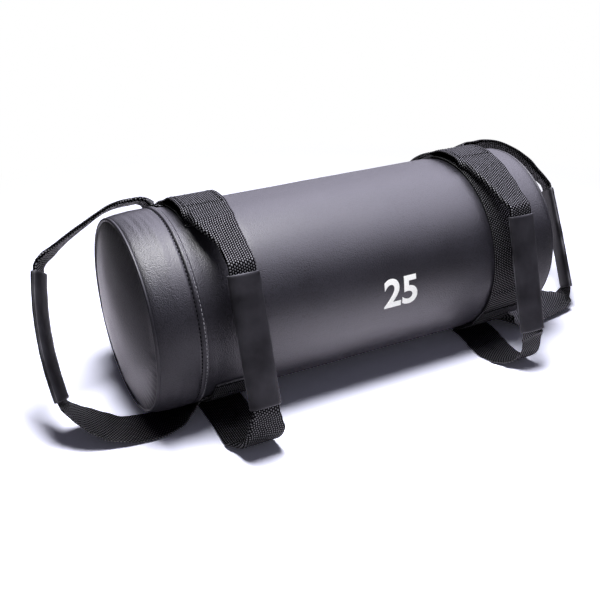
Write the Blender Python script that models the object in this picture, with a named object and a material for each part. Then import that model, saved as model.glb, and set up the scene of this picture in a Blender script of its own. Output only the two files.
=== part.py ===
import math

import bmesh
import bpy
from mathutils import Vector

# The bag lies along X with its sewn-on lid at the -X end, and its front faces -Y.

# Bag sizes, in metres
bag_radius = 0.104
bag_half_length = 0.2414
sag_depth = 0.0031
shoulder_length = 0.012
shoulder_drop = 0.0031
vinyl_thickness = 0.0012
fit_gap = 0.0003
floor_clearance = 0.0004

# Lid and ends
lap_edge_offset = 0.0496
lap_overlap = 0.022
lap_ramp = 0.004
lap_clearance = 0.0045
cap_crown = 0.013
piping_radius = 0.0018

# Padding, sack and sand
foam_thickness = 0.004
end_foam_thickness = 0.012
liner_thickness = 0.0006
liner_corner = 0.006
neck_radius = 0.007
neck_length = 0.014
neck_recess_radius = 0.013
neck_recess_depth = 0.018
tie_radius = 0.0012
tie_offset = 0.007

# Webbing
web_width = 0.050
web_thickness = 0.0018
strap_left_inset = 0.0854
strap_right_inset = 0.0614
strap_overlap_degrees = 18.0
overlap_edge_degrees = 0.6
side_sewing_degrees = 119.0
left_strap_front_degrees = 30.0
anchor_inset = 0.005
anchor_overrun = 0.005
root_back_degrees = 12.0
root_front_degrees = 19.0
bump_ease_degrees = 4.0
anchor_margin_degrees = 0.35

# Handle swing joints
joint_margin = 0.005
swing_gap = 0.0005
side_axis_inset = 0.019
end_axis_offset = 0.0081

# Grips
grip_length = 0.130
grip_wall = 0.0025
grip_side_room = 0.0015
grip_face_room = 0.0007
slide_travel = 0.005
bend_allowance = 0.002

# Left side grip: its middle, out from the bag's skin and up from its axis, and how far the handle
# drifts sideways from the top of the bag down to the floor
left_grip_room = 0.0326
left_grip_up = 0.0187
left_grip_lean_degrees = 21.3
left_drift = -0.003
left_floor_drift = -0.0045

# Right side grip
right_grip_room = 0.0275
right_grip_up = 0.0108
right_grip_lean_degrees = 20.5
right_drift = -0.006
right_floor_drift = -0.001

# End grips: middle, out past the bag's end and along the tilted middle plane
left_end_grip_out = 0.0838
left_end_grip_up = -0.0026
left_end_grip_lean_degrees = -3.7
left_end_grip_twist_degrees = 27.0
left_end_grip_bow = 0.006
right_end_grip_out = 0.0930
right_end_grip_up = -0.0286
right_end_grip_lean_degrees = 4.6
right_end_grip_twist_degrees = 22.0
right_end_grip_bow = 0.001

# Routes of the side handles' free webbing, as shares of the bag radius: out from the bag's axis,
# up from it, and the share of the fold that the webbing has there
left_side_upper_shares = [(-0.14, 1.092, 0.0), (0.15, 1.104, 0.0), (0.40, 1.052, 0.05),
                          (0.66, 0.980, 0.3), (0.89, 0.900, 0.6)]
left_side_lower_shares = [(1.535, -0.55, 0.2), (1.505, -0.70, 0.0), (1.425, -0.84, 0.0),
                          (1.300, -0.95, 0.0)]
right_side_upper_shares = [(-0.14, 1.080, 0.0), (0.14, 1.090, 0.0), (0.40, 1.015, 0.1),
                           (0.64, 0.930, 0.3), (0.86, 0.830, 0.6)]
right_side_lower_shares = [(1.455, -0.61, 0.2), (1.440, -0.73, 0.0), (1.385, -0.83, 0.0),
                           (1.300, -0.925, 0.0)]

# The floor run under a side handle: out from the axis, and up from the floor
floor_run_shares = [(1.17, 0.008), (1.00, 0.0), (0.82, 0.0), (0.66, 0.002), (0.52, 0.004)]
root_end_share = 0.40
side_root_shares = (0.0, 0.35, 0.7, 1.0)

# Routes of the end handles' upper webbing, as shares of the bag radius: out past the bag's end,
# up along the tilted middle plane, the share of the grip's twist and the share of the fold
left_end_upper_shares = [(-0.45, 1.080, 0.0, 0.20), (-0.28, 1.085, 0.0, 0.65),
                         (-0.05, 1.060, 0.0, 1.0), (0.15, 0.995, 0.1, 1.0),
                         (0.32, 0.905, 0.2, 1.0), (0.46, 0.815, 0.45, 1.0),
                         (0.57, 0.728, 0.75, 1.0)]
right_end_upper_shares = [(-0.27, 1.060, 0.0, 0.10), (-0.10, 1.075, 0.1, 0.45),
                          (0.08, 1.075, 0.3, 0.8), (0.28, 1.022, 0.5, 1.0),
                          (0.48, 0.912, 0.7, 1.0), (0.66, 0.765, 0.85, 1.0),
                          (0.80, 0.600, 0.95, 1.0)]
leaving_hug_share = 0.5
seat_shares = (0.0, 0.5, 0.9)

# Their lower webbing: out past the end, up from the floor, the share of the seat's distance
# towards the front, the share of the tilt, the share of the grip's twist and of the fold
left_end_lower_shares = [(0.755, 0.345, 0.70, 0.4, 0.4, 0.5), (0.67, 0.262, 0.76, -0.1, 0.1, 0.2),
                         (0.55, 0.172, 0.84, -0.3, 0.0, 0.1), (0.42, 0.092, 0.92, -0.2, 0.0, 0.05),
                         (0.27, 0.032, 0.99, 0.0, 0.0, 0.0), (0.10, 0.006, 1.03, 0.0, 0.0, 0.0),
                         (-0.06, 0.004, 1.05, 0.1, 0.0, 0.0), (-0.23, 0.020, 1.04, 0.3, 0.0, 0.0),
                         (-0.38, 0.070, 1.0, 0.7, 0.0, 0.0)]
right_end_lower_shares = [(0.82, 0.125, 0.88, 0.5, 0.4, 0.6), (0.76, 0.080, 0.87, 0.0, 0.1, 0.35),
                          (0.64, 0.048, 0.87, -0.2, 0.0, 0.1), (0.45, 0.022, 0.90, -0.1, 0.0, 0.0),
                          (0.22, 0.008, 0.96, 0.0, 0.0, 0.0), (0.0, 0.012, 1.0, 0.1, 0.0, 0.0),
                          (-0.15, 0.034, 1.0, 0.3, 0.0, 0.0), (-0.27, 0.080, 1.0, 0.7, 0.0, 0.0)]

# Counts of facets
bag_segments = 60
inner_segments = 40
piping_sides = 6
crown_rings = 4
shoulder_rings = 3
strap_step_degrees = 5.0
route_samples = 500
station_spacing = 0.009
end_root_spacing = 0.0032
web_facets = 6
run_keys = 6
grip_corner_steps = 5
side_grip_stations = 1
end_grip_stations = 8

# Sizes that follow from those above
strap_left_x = strap_left_inset - bag_half_length
strap_right_x = bag_half_length - strap_right_inset
interface_radius = web_width / 2 + joint_margin
side_axis_offset = bag_radius - side_axis_inset
grip_width = web_width / 2 + 2 * (grip_wall + grip_side_room)
grip_height = 2 * (web_thickness + grip_wall + grip_face_room)
left_grip_out = bag_radius + left_grip_room
right_grip_out = bag_radius + right_grip_room
end_radius = bag_radius - shoulder_drop
layer_step = web_thickness + fit_gap
axis_height = bag_radius + fit_gap + web_thickness - sag_depth
cap_rim_radius = end_radius - piping_radius - fit_gap
panel_end = bag_half_length - piping_radius - fit_gap
foam_radius = bag_radius - vinyl_thickness - fit_gap
liner_radius = foam_radius - foam_thickness - fit_gap
sand_radius = liner_radius - liner_thickness - fit_gap
foam_face = bag_half_length - end_foam_thickness
liner_face = foam_face - fit_gap
sand_face = liner_face - liner_thickness - fit_gap
lap_edge_x = -bag_half_length + lap_edge_offset
panel_start_x = lap_edge_x - lap_overlap
floor_mid = floor_clearance + web_thickness / 2
seat_radius = bag_radius + fit_gap + web_thickness / 2
web_angle = math.asin(web_width / 2 / seat_radius)
flat_angle = math.acos((bag_radius - sag_depth) / bag_radius)
seat_angle = flat_angle + web_angle + math.radians(bump_ease_degrees + anchor_margin_degrees)
lap_rise = vinyl_thickness + fit_gap
strap_outer_radius = bag_radius + fit_gap + web_thickness
root_radius = strap_outer_radius + layer_step + fit_gap + web_thickness / 2


def clear_scene():
    for item in list(bpy.data.objects):
        bpy.data.objects.remove(item, do_unlink=True)


def make_material(name, colour, roughness, metallic=0.0):
    material = bpy.data.materials.new(name)
    material.use_nodes = True
    shader = material.node_tree.nodes["Principled BSDF"]
    shader.inputs["Base Color"].default_value = (*colour, 1.0)
    shader.inputs["Roughness"].default_value = roughness
    shader.inputs["Metallic"].default_value = metallic
    return material


def finish_mesh(name, points, faces, material, parent, origin=None):
    origin = Vector(origin) if origin is not None else Vector((0, 0, 0))
    mesh = bpy.data.meshes.new(name)
    mesh.from_pydata([tuple(Vector(point) - origin) for point in points], [], faces)
    bm = bmesh.new()
    bm.from_mesh(mesh)
    bmesh.ops.recalc_face_normals(bm, faces=bm.faces)
    bm.to_mesh(mesh)
    bm.free()
    mesh.shade_smooth()
    mesh.set_sharp_from_angle(angle=math.radians(40))
    mesh.materials.append(material)
    item = bpy.data.objects.new(name, mesh)
    bpy.context.scene.collection.objects.link(item)
    item.location = origin - parent.location
    item.parent = parent
    return item


# A body of revolution about the bag's axis. Each profile point holds its place along X, its
# radius, and the radius of the layer it belongs to, which sets where the bag's rest flattens it.
def turned_body(name, profile, segments, closed, material, parent):
    points = []
    rings = []
    for x, radius, layer_radius in profile:
        flat = axis_height - (layer_radius - sag_depth)
        if radius == 0:
            rings.append([len(points)])
            points.append((x, 0, axis_height))
            continue
        ring = []
        for step in range(segments):
            angle = 2 * math.pi * step / segments
            ring.append(len(points))
            height = max(axis_height - radius * math.cos(angle), flat)
            points.append((x, -radius * math.sin(angle), height))
        rings.append(ring)
    faces = []
    count = len(rings)
    for index in range(count if closed else count - 1):
        one = rings[index]
        two = rings[(index + 1) % count]
        for step in range(segments):
            after = (step + 1) % segments
            if len(one) == 1:
                faces.append((one[0], two[after], two[step]))
            elif len(two) == 1:
                faces.append((one[step], one[after], two[0]))
            else:
                faces.append((one[step], one[after], two[after], two[step]))
    return finish_mesh(name, points, faces, material, parent)


# The bag's rounded shoulder: radius at a distance from the bag's middle
def shoulder_radius(distance):
    start = bag_half_length - shoulder_length
    if distance <= start:
        return bag_radius
    share = min((distance - start) / shoulder_length, 1.0)
    return end_radius + shoulder_drop * math.sqrt(1 - share * share)


def crown_height(radius):
    share = min(radius / cap_rim_radius, 1.0)
    return cap_crown * (1 - share * share)


def make_shell(material, parent):
    outer = [(panel_start_x, bag_radius, bag_radius)]
    shoulder_start = bag_half_length - shoulder_length
    for step in range(shoulder_rings + 1):
        x = shoulder_start + (panel_end - shoulder_start) * step / shoulder_rings
        outer.append((x, shoulder_radius(x), bag_radius))
    inner = []
    inner_layer = bag_radius - vinyl_thickness
    for x, radius, layer_radius in reversed(outer):
        inner.append((x, radius - vinyl_thickness, inner_layer))
    return turned_body("shell_panel", outer + inner, bag_segments, True, material, parent)


def make_lid_band(material, parent):
    lap_inner = bag_radius + fit_gap
    lap_outer = lap_inner + vinyl_thickness
    ramp_start = panel_start_x - fit_gap
    ramp_end = ramp_start - lap_ramp
    inner_layer = bag_radius - vinyl_thickness
    outer = [(lap_edge_x, lap_outer, lap_outer), (ramp_start, lap_outer, lap_outer),
             (ramp_end, bag_radius, bag_radius)]
    inner = [(lap_edge_x, lap_inner, lap_inner), (ramp_start, lap_inner, lap_inner),
             (ramp_end, inner_layer, inner_layer)]
    shoulder_start = bag_half_length - shoulder_length
    for step in range(shoulder_rings + 1):
        x = shoulder_start + (panel_end - shoulder_start) * step / shoulder_rings
        outer.append((-x, shoulder_radius(x), bag_radius))
        inner.append((-x, shoulder_radius(x) - vinyl_thickness, inner_layer))
    profile = outer + list(reversed(inner))
    return turned_body("lid_band", profile, bag_segments, True, material, parent)


def make_cap(name, side, material, parent):
    outer = []
    inner = []
    for step in range(crown_rings + 1):
        radius = cap_rim_radius * step / crown_rings
        x = bag_half_length + crown_height(radius)
        outer.append((side * x, radius, bag_radius))
        inner.append((side * (x - vinyl_thickness), radius, bag_radius))
    profile = outer + list(reversed(inner))
    return turned_body(name, profile, bag_segments, False, material, parent)


def make_ring(name, x, ring_radius, tube_radius, segments, material, parent):
    profile = []
    for step in range(piping_sides):
        angle = 2 * math.pi * step / piping_sides
        radius = ring_radius + tube_radius * math.sin(angle)
        profile.append((x + tube_radius * math.cos(angle), radius, bag_radius + tube_radius))
    return turned_body(name, profile, segments, True, material, parent)


def make_foam_sleeve(material, parent):
    inside = foam_radius - foam_thickness
    profile = [(-liner_face, foam_radius, foam_radius), (liner_face, foam_radius, foam_radius),
               (liner_face, inside, inside), (-liner_face, inside, inside)]
    return turned_body("foam_sleeve", profile, inner_segments, True, material, parent)


def make_end_foam(name, side, recessed, material, parent):
    skin = vinyl_thickness + fit_gap
    face = []
    for step in range(crown_rings, -1, -1):
        radius = cap_rim_radius * step / crown_rings
        face.append((side * (bag_half_length + crown_height(radius) - skin), radius, bag_radius))
    profile = [(side * foam_face, cap_rim_radius, bag_radius)] + face
    if recessed:
        recess = foam_face + neck_recess_depth
        profile.append((side * recess, 0, bag_radius))
        profile.append((side * recess, neck_recess_radius, bag_radius))
        profile.append((side * foam_face, neck_recess_radius, bag_radius))
        start = profile.pop(len(face))
        profile = [start] + list(reversed(profile[:len(face)])) + list(reversed(profile[len(face):]))
        return turned_body(name, profile, inner_segments, False, material, parent)
    profile = [(side * foam_face, 0, bag_radius)] + profile
    return turned_body(name, profile, inner_segments, False, material, parent)


def make_liner(material, parent):
    inside = liner_radius - liner_thickness
    inner_face = liner_face - liner_thickness
    neck_inside = neck_radius - liner_thickness
    neck_end = -liner_face - neck_length
    profile = [(liner_face, 0, liner_radius),
               (liner_face, liner_radius - liner_corner, liner_radius),
               (liner_face - liner_corner, liner_radius, liner_radius),
               (-liner_face + liner_corner, liner_radius, liner_radius),
               (-liner_face, liner_radius - liner_corner, liner_radius),
               (-liner_face, neck_radius, liner_radius),
               (neck_end, neck_radius, liner_radius),
               (neck_end, neck_inside, inside),
               (-inner_face, neck_inside, inside),
               (-inner_face, inside - liner_corner, inside),
               (-inner_face + liner_corner, inside, inside),
               (inner_face - liner_corner, inside, inside),
               (inner_face, inside - liner_corner, inside),
               (inner_face, 0, inside)]
    return turned_body("sand_sack", profile, inner_segments, False, material, parent)


def make_sand(material, parent):
    profile = [(-sand_face, 0, sand_radius),
               (-sand_face, sand_radius - liner_corner, sand_radius),
               (-sand_face + liner_corner, sand_radius, sand_radius),
               (sand_face - liner_corner, sand_radius, sand_radius),
               (sand_face, sand_radius - liner_corner, sand_radius),
               (sand_face, 0, sand_radius)]
    return turned_body("sand_fill", profile, inner_segments, False, material, parent)


def ease(share):
    share = min(max(share, 0.0), 1.0)
    return share * share * (3 - 2 * share)


# How far a girth strap is lifted where the end handles' webbing passes under it
def strap_lift(angle):
    lift = 0.0
    for seat in (-seat_angle, math.pi - seat_angle):
        off = abs(math.remainder(angle - seat, 2 * math.pi)) - web_angle
        lift = max(lift, 1 - ease(off / math.radians(bump_ease_degrees)))
    return lift * layer_step


# The angles of a strap's cross-sections, with one wherever its shape changes
def strap_stations(start, end):
    breaks = {start, end}
    bump = math.degrees(web_angle)
    offsets = (-bump - bump_ease_degrees, -bump, bump, bump + bump_ease_degrees)
    marks = [math.degrees(-seat_angle) + offset for offset in offsets]
    marks += [mark + 180 for mark in marks]
    marks += [side_sewing_degrees, side_sewing_degrees + overlap_edge_degrees]
    for mark in marks:
        for turn in (-360, 0):
            if end < mark + turn < start:
                breaks.add(mark + turn)
    breaks = sorted(breaks, reverse=True)
    stations = [breaks[0]]
    for one, two in zip(breaks, breaks[1:]):
        count = math.ceil((one - two) / strap_step_degrees)
        stations += [one + (two - one) * (step + 1) / count for step in range(count)]
    return [math.radians(station) for station in stations]


# A girth strap, from one angle back to another, counted from the top towards the front. A strap
# that goes all round ends in a doubled overlap.
def make_strap(name, x, start_degrees, end_degrees, material, parent):
    full_turn = start_degrees - end_degrees >= 360
    stations = strap_stations(start_degrees, end_degrees)
    if full_turn:
        stations.pop()
    points = []
    sections = []
    half = web_width / 2
    inner_flat = axis_height - (bag_radius + fit_gap - sag_depth)
    for angle in stations:
        inner = bag_radius + fit_gap + strap_lift(angle)
        thickness = web_thickness
        if full_turn:
            past = math.degrees(angle) % 360 - (side_sewing_degrees - strap_overlap_degrees)
            if 0 < past < strap_overlap_degrees + overlap_edge_degrees / 2:
                thickness = web_thickness * (1 + ease(past / strap_overlap_degrees))
        outer = inner + thickness
        ring = []
        for radius, across, flat in ((inner, -half, inner_flat), (inner, half, inner_flat),
                                     (outer, half, 0), (outer, -half, 0)):
            ring.append(len(points))
            height = max(axis_height + radius * math.cos(angle), flat)
            points.append((x + across, -radius * math.sin(angle), height))
        sections.append(ring)
    return finish_mesh(name, points, skin_sections(sections, full_turn), material, parent)


def skin_sections(sections, closed):
    faces = []
    size = len(sections[0])
    count = len(sections)
    for index in range(count if closed else count - 1):
        one = sections[index]
        two = sections[(index + 1) % count]
        for step in range(size):
            after = (step + 1) % size
            faces.append((one[step], one[after], two[after], two[step]))
    if not closed:
        for section in (sections[0], sections[-1]):
            for step in range(size // 2 - 1):
                faces.append((section[step], section[step + 1],
                              section[size - 2 - step], section[size - 1 - step]))
    return faces


# A smooth curve through the keys of a route. A key holds a place, a tilt, a twist, a fold and a
# hug: the tilt and the twist turn the webbing's width, the fold doubles it lengthwise, and the hug
# bends it to the bag.
def smooth_route(keys, width_of, marks):
    places = [Vector(key[0]) for key in keys]
    times = [0.0]
    for one, two in zip(places, places[1:]):
        times.append(times[-1] + math.sqrt((two - one).length))
    route = {"points": [], "values": [], "lengths": [], "frames": [], "marks": []}
    for sample in range(route_samples + 1):
        time = times[-1] * sample / route_samples
        span = 0
        while span < len(keys) - 2 and times[span + 1] < time:
            span += 1
        blend = ease((time - times[span]) / (times[span + 1] - times[span]))
        route["points"].append(curve_place(places, times, span, time))
        values = []
        for one, two in zip(keys[span][1:], keys[span + 1][1:]):
            values.append(one + (two - one) * blend)
        route["values"].append(values)
    length = 0.0
    last = route_samples
    for index, point in enumerate(route["points"]):
        before = route["points"][max(index - 1, 0)]
        after = route["points"][min(index + 1, last)]
        length += (point - before).length
        route["lengths"].append(length)
        along = (after - before).normalized()
        tilt, twist = route["values"][index][:2]
        across = width_of(tilt)
        across = (across - across.dot(along) * along).normalized()
        across = across * math.cos(twist) + along.cross(across) * math.sin(twist)
        route["frames"].append((across, along.cross(across)))
    for mark in marks:
        route["marks"].append(route["lengths"][round(route_samples * times[mark] / times[-1])])
    return route


def curve_place(places, times, span, time):
    t1 = times[span]
    t2 = times[span + 1]
    p1 = places[span]
    p2 = places[span + 1]
    p0 = places[span - 1] if span else p1 - (p2 - p1)
    t0 = times[span - 1] if span else t1 - (t2 - t1)
    ahead = span + 2 < len(places)
    p3 = places[span + 2] if ahead else p2 + (p2 - p1)
    t3 = times[span + 2] if ahead else t2 + (t2 - t1)
    a1 = p0.lerp(p1, (time - t0) / (t1 - t0))
    a2 = p1.lerp(p2, (time - t1) / (t2 - t1))
    a3 = p2.lerp(p3, (time - t2) / (t3 - t2))
    b1 = a1.lerp(a2, (time - t0) / (t2 - t0))
    b2 = a2.lerp(a3, (time - t1) / (t3 - t1))
    return b1.lerp(b2, (time - t1) / (t2 - t1))


def route_at(route, place):
    lengths = route["lengths"]
    low = 0
    high = len(lengths) - 1
    while high - low > 1:
        middle = (low + high) // 2
        if lengths[middle] <= place:
            low = middle
        else:
            high = middle
    share = (place - lengths[low]) / (lengths[high] - lengths[low])
    share = min(max(share, 0.0), 1.0)
    point = route["points"][low].lerp(route["points"][high], share)
    across = route["frames"][low][0].lerp(route["frames"][high][0], share).normalized()
    outward = route["frames"][low][1].lerp(route["frames"][high][1], share).normalized()
    values = []
    for one, two in zip(route["values"][low], route["values"][high]):
        values.append(one + (two - one) * share)
    return point, across, outward, values


# The least distance from the bag's axis to the middle of webbing that lies on the bag
def seat_limit(x):
    if abs(x) > bag_half_length:
        return 0.0
    on_lap = panel_start_x - lap_ramp - lap_clearance < x < lap_edge_x + lap_clearance
    return seat_radius + (lap_rise if on_lap else 0.0)


# The middle of the webbing at a place along its route and a share of its half width
def web_middle(route, place, share):
    point, across, outward, (tilt, twist, fold, hug) = route_at(route, place)
    half_thickness = web_thickness * (1 + fold) / 2
    offset = share * web_width / 2 * (1 - fold / 2)
    middle = point + offset * across - outward * (hug * offset * offset / (2 * bag_radius))
    arm = Vector((0, middle.y, middle.z - axis_height))
    short = seat_limit(middle.x) - arm.length
    if short > 0:
        middle += arm.normalized() * short
    middle.z = max(middle.z, floor_clearance + half_thickness * abs(outward.z))
    return middle, outward * half_thickness


def axis_distance(point, axis_point, axis_direction):
    arm = point - axis_point
    return (arm - arm.dot(axis_direction) * axis_direction).length


# Where the webbing first comes within a distance of the swing axis, from either end of its route
def crossing(route, share, axis, distance, backward):
    lengths = route["lengths"]
    order = list(range(len(lengths)))
    if backward:
        order.reverse()
    previous = None
    for index in order:
        middle = web_middle(route, lengths[index], share)[0]
        gap = axis_distance(middle, axis[0], axis[1]) - distance
        if gap <= 0 and previous is not None:
            part = previous[1] / (previous[1] - gap)
            return previous[0] + (lengths[index] - previous[0]) * part
        previous = (lengths[index], gap)
    return lengths[order[-1]]


# The webbing's facets stand evenly round the swing joint's curved line
def facet_turn():
    return 2 * math.asin(web_width / 2 / interface_radius) / web_facets


def facet_shares():
    whole = math.sin(facet_turn() * web_facets / 2)
    return [math.sin(facet_turn() * (step - web_facets / 2)) / whole
            for step in range(web_facets + 1)]


# The places of the cross-sections of a length of webbing, with one at each mark
def station_places(first, last, marks, spacing):
    breaks = [first] + [mark for mark in marks if first < mark < last] + [last]
    places = [first]
    for one, two in zip(breaks, breaks[1:]):
        count = max(round((two - one) / spacing), 1)
        places += [one + (two - one) * (step + 1) / count for step in range(count)]
    return places


# A length of webbing between two ends. An end is a place along the route, or a curved joint line
# at a distance from the swing axis.
def make_web(name, route, start, end, spacing, material, parent, origin=None):
    shares = facet_shares()
    firsts = [start(share) for share in shares]
    lasts = [end(share) for share in shares]
    first = firsts[web_facets // 2]
    last = lasts[web_facets // 2]
    reach = min(web_width, (last - first) / 2)
    sections = []
    points = []
    for place in station_places(first, last, route["marks"], spacing):
        upper = []
        lower = []
        for share, own_first, own_last in zip(shares, firsts, lasts):
            own = place
            own += (own_first - first) * max(0.0, 1 - (place - first) / reach)
            own += (own_last - last) * max(0.0, 1 - (last - place) / reach)
            middle, thick = web_middle(route, own, share)
            upper.append(middle + thick)
            lower.append(middle - thick)
        ring = []
        for point in upper + list(reversed(lower)):
            ring.append(len(points))
            points.append(point)
        sections.append(ring)
    return finish_mesh(name, points, skin_sections(sections, False), material, parent, origin)


# A handle's webbing in three lengths: the root sewn to the bag at each end, and the loop between
# them, which swings
def make_webbing(prefix, route, axis, root_spacing, material, parent, swing):
    length = route["lengths"][-1]
    near = interface_radius
    far = (interface_radius + swing_gap) / math.cos(facet_turn() / 2)
    make_web(prefix + "_handle_root_upper", route, lambda share: 0.0,
             lambda share: crossing(route, share, axis, far, False),
             root_spacing, material, parent)
    make_web(prefix + "_handle_root_lower", route,
             lambda share: crossing(route, share, axis, far, True),
             lambda share: length, root_spacing, material, parent)
    make_web(prefix + "_handle_loop", route,
             lambda share: crossing(route, share, axis, near, False),
             lambda share: crossing(route, share, axis, near, True),
             station_spacing, material, swing, axis[0])


# Where the keys of a grip's run stand, as lengths from the grip's upper end. The webbing keeps
# the grip's shape a little past both of its ends, so that the grip can shift.
def run_lengths():
    start = -slide_travel - bend_allowance
    end = grip_length + bend_allowance
    lengths = [start - bend_allowance]
    for step in range(run_keys):
        lengths.append(start + (end - start) * step / (run_keys - 1))
    lengths.append(end + bend_allowance)
    return lengths


# The run's ends, counted in the keys of the whole route
def run_marks(first):
    return (first + 1, first + run_keys)


# The outline of a flattened tube: flat faces with half-round edges
def tube_outline(width, height):
    radius = height / 2
    flat = width / 2 - radius
    outline = []
    for side, centre in ((1, flat), (-1, -flat)):
        for step in range(grip_corner_steps + 1):
            angle = math.pi * step / grip_corner_steps - math.pi / 2
            outline.append((centre + side * radius * math.cos(angle), side * radius * math.sin(angle)))
    return outline


# A grip: a flattened tube round the straight or bowed run of its webbing
def make_grip(name, place_of, stations, material, parent, origin):
    points = []
    sections = []
    outer = tube_outline(grip_width, grip_height)
    inner = tube_outline(grip_width - 2 * grip_wall, grip_height - 2 * grip_wall)
    for step in range(stations + 1):
        centre, across, outward = place_of(step / stations)
        outer_ring = []
        inner_ring = []
        for ring, outline in ((outer_ring, outer), (inner_ring, inner)):
            for side, up in outline:
                ring.append(len(points))
                points.append(centre + side * across + up * outward)
        sections.append((outer_ring, inner_ring))
    size = len(outer)
    faces = []
    for one, two in zip(sections, sections[1:]):
        for step in range(size):
            after = (step + 1) % size
            faces.append((one[0][step], one[0][after], two[0][after], two[0][step]))
            faces.append((one[1][after], one[1][step], two[1][step], two[1][after]))
    for section, turned in ((sections[0], False), (sections[-1], True)):
        for step in range(size):
            after = (step + 1) % size
            face = (section[0][step], section[1][step], section[1][after], section[0][after])
            faces.append(tuple(reversed(face)) if turned else face)
    return finish_mesh(name, points, faces, material, parent, origin)


# A place out from the bag's axis towards the front, and up from it, beside a girth strap. The
# handle drifts sideways on its way down.
def front_place(x, drift, out, up):
    shift = drift * (bag_radius - min(up, bag_radius)) / (2 * bag_radius)
    return Vector((x + shift, -out, axis_height + up))


def make_side_handle(prefix, x, drifts, grip, upper_shares, lower_shares, materials, parent):
    out, up, lean = grip
    drift, floor_drift = drifts
    lean = math.radians(lean)
    middle = front_place(x, drift, out, up)
    below = front_place(x, drift, out + math.sin(lean) * bag_radius, up - math.cos(lean) * bag_radius)
    down = (below - middle).normalized()
    top = middle - down * (grip_length / 2)
    keys = []
    back = seat_angle + math.radians(root_back_degrees)
    front = math.radians(root_front_degrees)
    for share in side_root_shares:
        angle = -back + (back - front) * share
        place = front_place(x, drift, root_radius * math.sin(angle), root_radius * math.cos(angle))
        keys.append((place, 0, 0, 0, 0))
    for out_share, up_share, fold in upper_shares:
        place = front_place(x, drift, out_share * bag_radius, up_share * bag_radius)
        keys.append((place, 0, 0, fold, 0))
    marks = run_marks(len(keys))
    for length in run_lengths():
        keys.append((top + down * length, 0, 0, 1, 0))
    for out_share, up_share, fold in lower_shares:
        place = front_place(x, floor_drift, out_share * bag_radius, up_share * bag_radius)
        keys.append((place, 0, 0, fold, 0))
    for out_share, up_share in floor_run_shares:
        height = floor_mid + up_share * bag_radius - axis_height
        keys.append((front_place(x, floor_drift, out_share * bag_radius, height), 0, 0, 0, 0))
    end_out = root_end_share * bag_radius
    strap_face = strap_outer_radius + layer_step
    end_up = -math.sqrt(strap_face * strap_face - end_out * end_out) - fit_gap - web_thickness / 2
    keys.append((front_place(x, floor_drift, end_out, end_up), 0, 0, 0, 0))
    route = smooth_route(keys, lambda tilt: Vector((1, 0, 0)), marks)
    axis_point = Vector((x + floor_drift / 2, -side_axis_offset, 0))
    axis = (axis_point, Vector((0, 0, 1)))
    swing = make_empty(prefix + "_side_swing", axis_point, parent)
    make_webbing(prefix + "_side", route, axis, station_spacing, materials["webbing"], parent, swing)
    across = Vector((1, 0, 0))
    across = (across - across.dot(down) * down).normalized()
    outward = down.cross(across)

    def place_of(share):
        return top + down * (grip_length * share), across, outward

    make_grip(prefix + "_side_grip", place_of, side_grip_stations, materials["grip"], swing, middle)


# A place out past the bag's end and up along the tilted middle plane
def end_place(side, out, up):
    return Vector((side * (bag_half_length + out), math.sin(seat_angle) * up,
                   axis_height + math.cos(seat_angle) * up))


def make_end_handle(prefix, side, strap_x, grip, upper_shares, lower_shares, materials, parent):
    out, up, lean_degrees, twist_degrees, bow = grip
    lean = math.radians(lean_degrees)
    twist = math.radians(twist_degrees)
    plane_up = Vector((0, math.sin(seat_angle), math.cos(seat_angle)))
    plane_out = Vector((side, 0, 0))
    down = -plane_up * math.cos(lean) - plane_out * math.sin(lean)
    away = plane_out * math.cos(lean) - plane_up * math.sin(lean)
    middle = end_place(side, out, up)
    arc_radius = (grip_length * grip_length / 4 + bow * bow) / (2 * bow)
    centre = middle - away * arc_radius
    half_turn = math.asin(grip_length / 2 / arc_radius)

    def width_of(tilt):
        return side * Vector((0, math.cos(tilt), -math.sin(tilt)))

    def arc_frame(share):
        turn = half_turn * (2 * share - 1)
        outward = away * math.cos(turn) + down * math.sin(turn)
        across = width_of(seat_angle)
        place = centre + outward * arc_radius
        turned = across * math.cos(twist) + outward * math.sin(twist)
        return place, turned, outward * math.cos(twist) - across * math.sin(twist)

    inner_edge = abs(strap_x) - web_width / 2 + anchor_inset - bag_half_length
    outer_edge = abs(strap_x) + web_width / 2 - bag_half_length
    seat_outs = [inner_edge + (outer_edge - inner_edge) * share for share in seat_shares]
    seat_outs.append(outer_edge + anchor_overrun)
    keys = []
    for seat_out in seat_outs:
        keys.append((end_place(side, seat_out, seat_radius), seat_angle, 0, 0, 1))
    for index, (out_share, up_share, twist_share, fold) in enumerate(upper_shares):
        place = end_place(side, out_share * bag_radius, up_share * bag_radius)
        hug = 0 if index else leaving_hug_share
        keys.append((place, seat_angle, twist * twist_share, fold, hug))
    marks = run_marks(len(keys))
    for length in run_lengths():
        keys.append((arc_frame(length / grip_length)[0], seat_angle, twist, 1, 0))
    seat_front = math.sin(seat_angle) * seat_radius
    for out_share, up_share, front_share, tilt_share, twist_share, fold in lower_shares:
        place = Vector((side * (bag_half_length + out_share * bag_radius),
                        -seat_front * front_share, floor_mid + up_share * bag_radius))
        keys.append((place, seat_angle * tilt_share, twist * twist_share, fold, 0))
    for seat_out in reversed(seat_outs):
        keys.append((end_place(side, seat_out, -seat_radius), seat_angle, 0, 0, 1))
    route = smooth_route(keys, width_of, marks)
    axis_point = end_place(side, end_axis_offset, 0)
    swing = make_empty(prefix + "_end_swing", axis_point, parent)
    axis = (axis_point, plane_up)
    make_webbing(prefix + "_end", route, axis, end_root_spacing, materials["webbing"], parent, swing)
    make_grip(prefix + "_end_grip", arc_frame, end_grip_stations, materials["grip"], swing, middle)


def make_empty(name, place, parent):
    empty = bpy.data.objects.new(name, None)
    bpy.context.scene.collection.objects.link(empty)
    empty.location = place
    empty.parent = parent
    return empty


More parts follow.
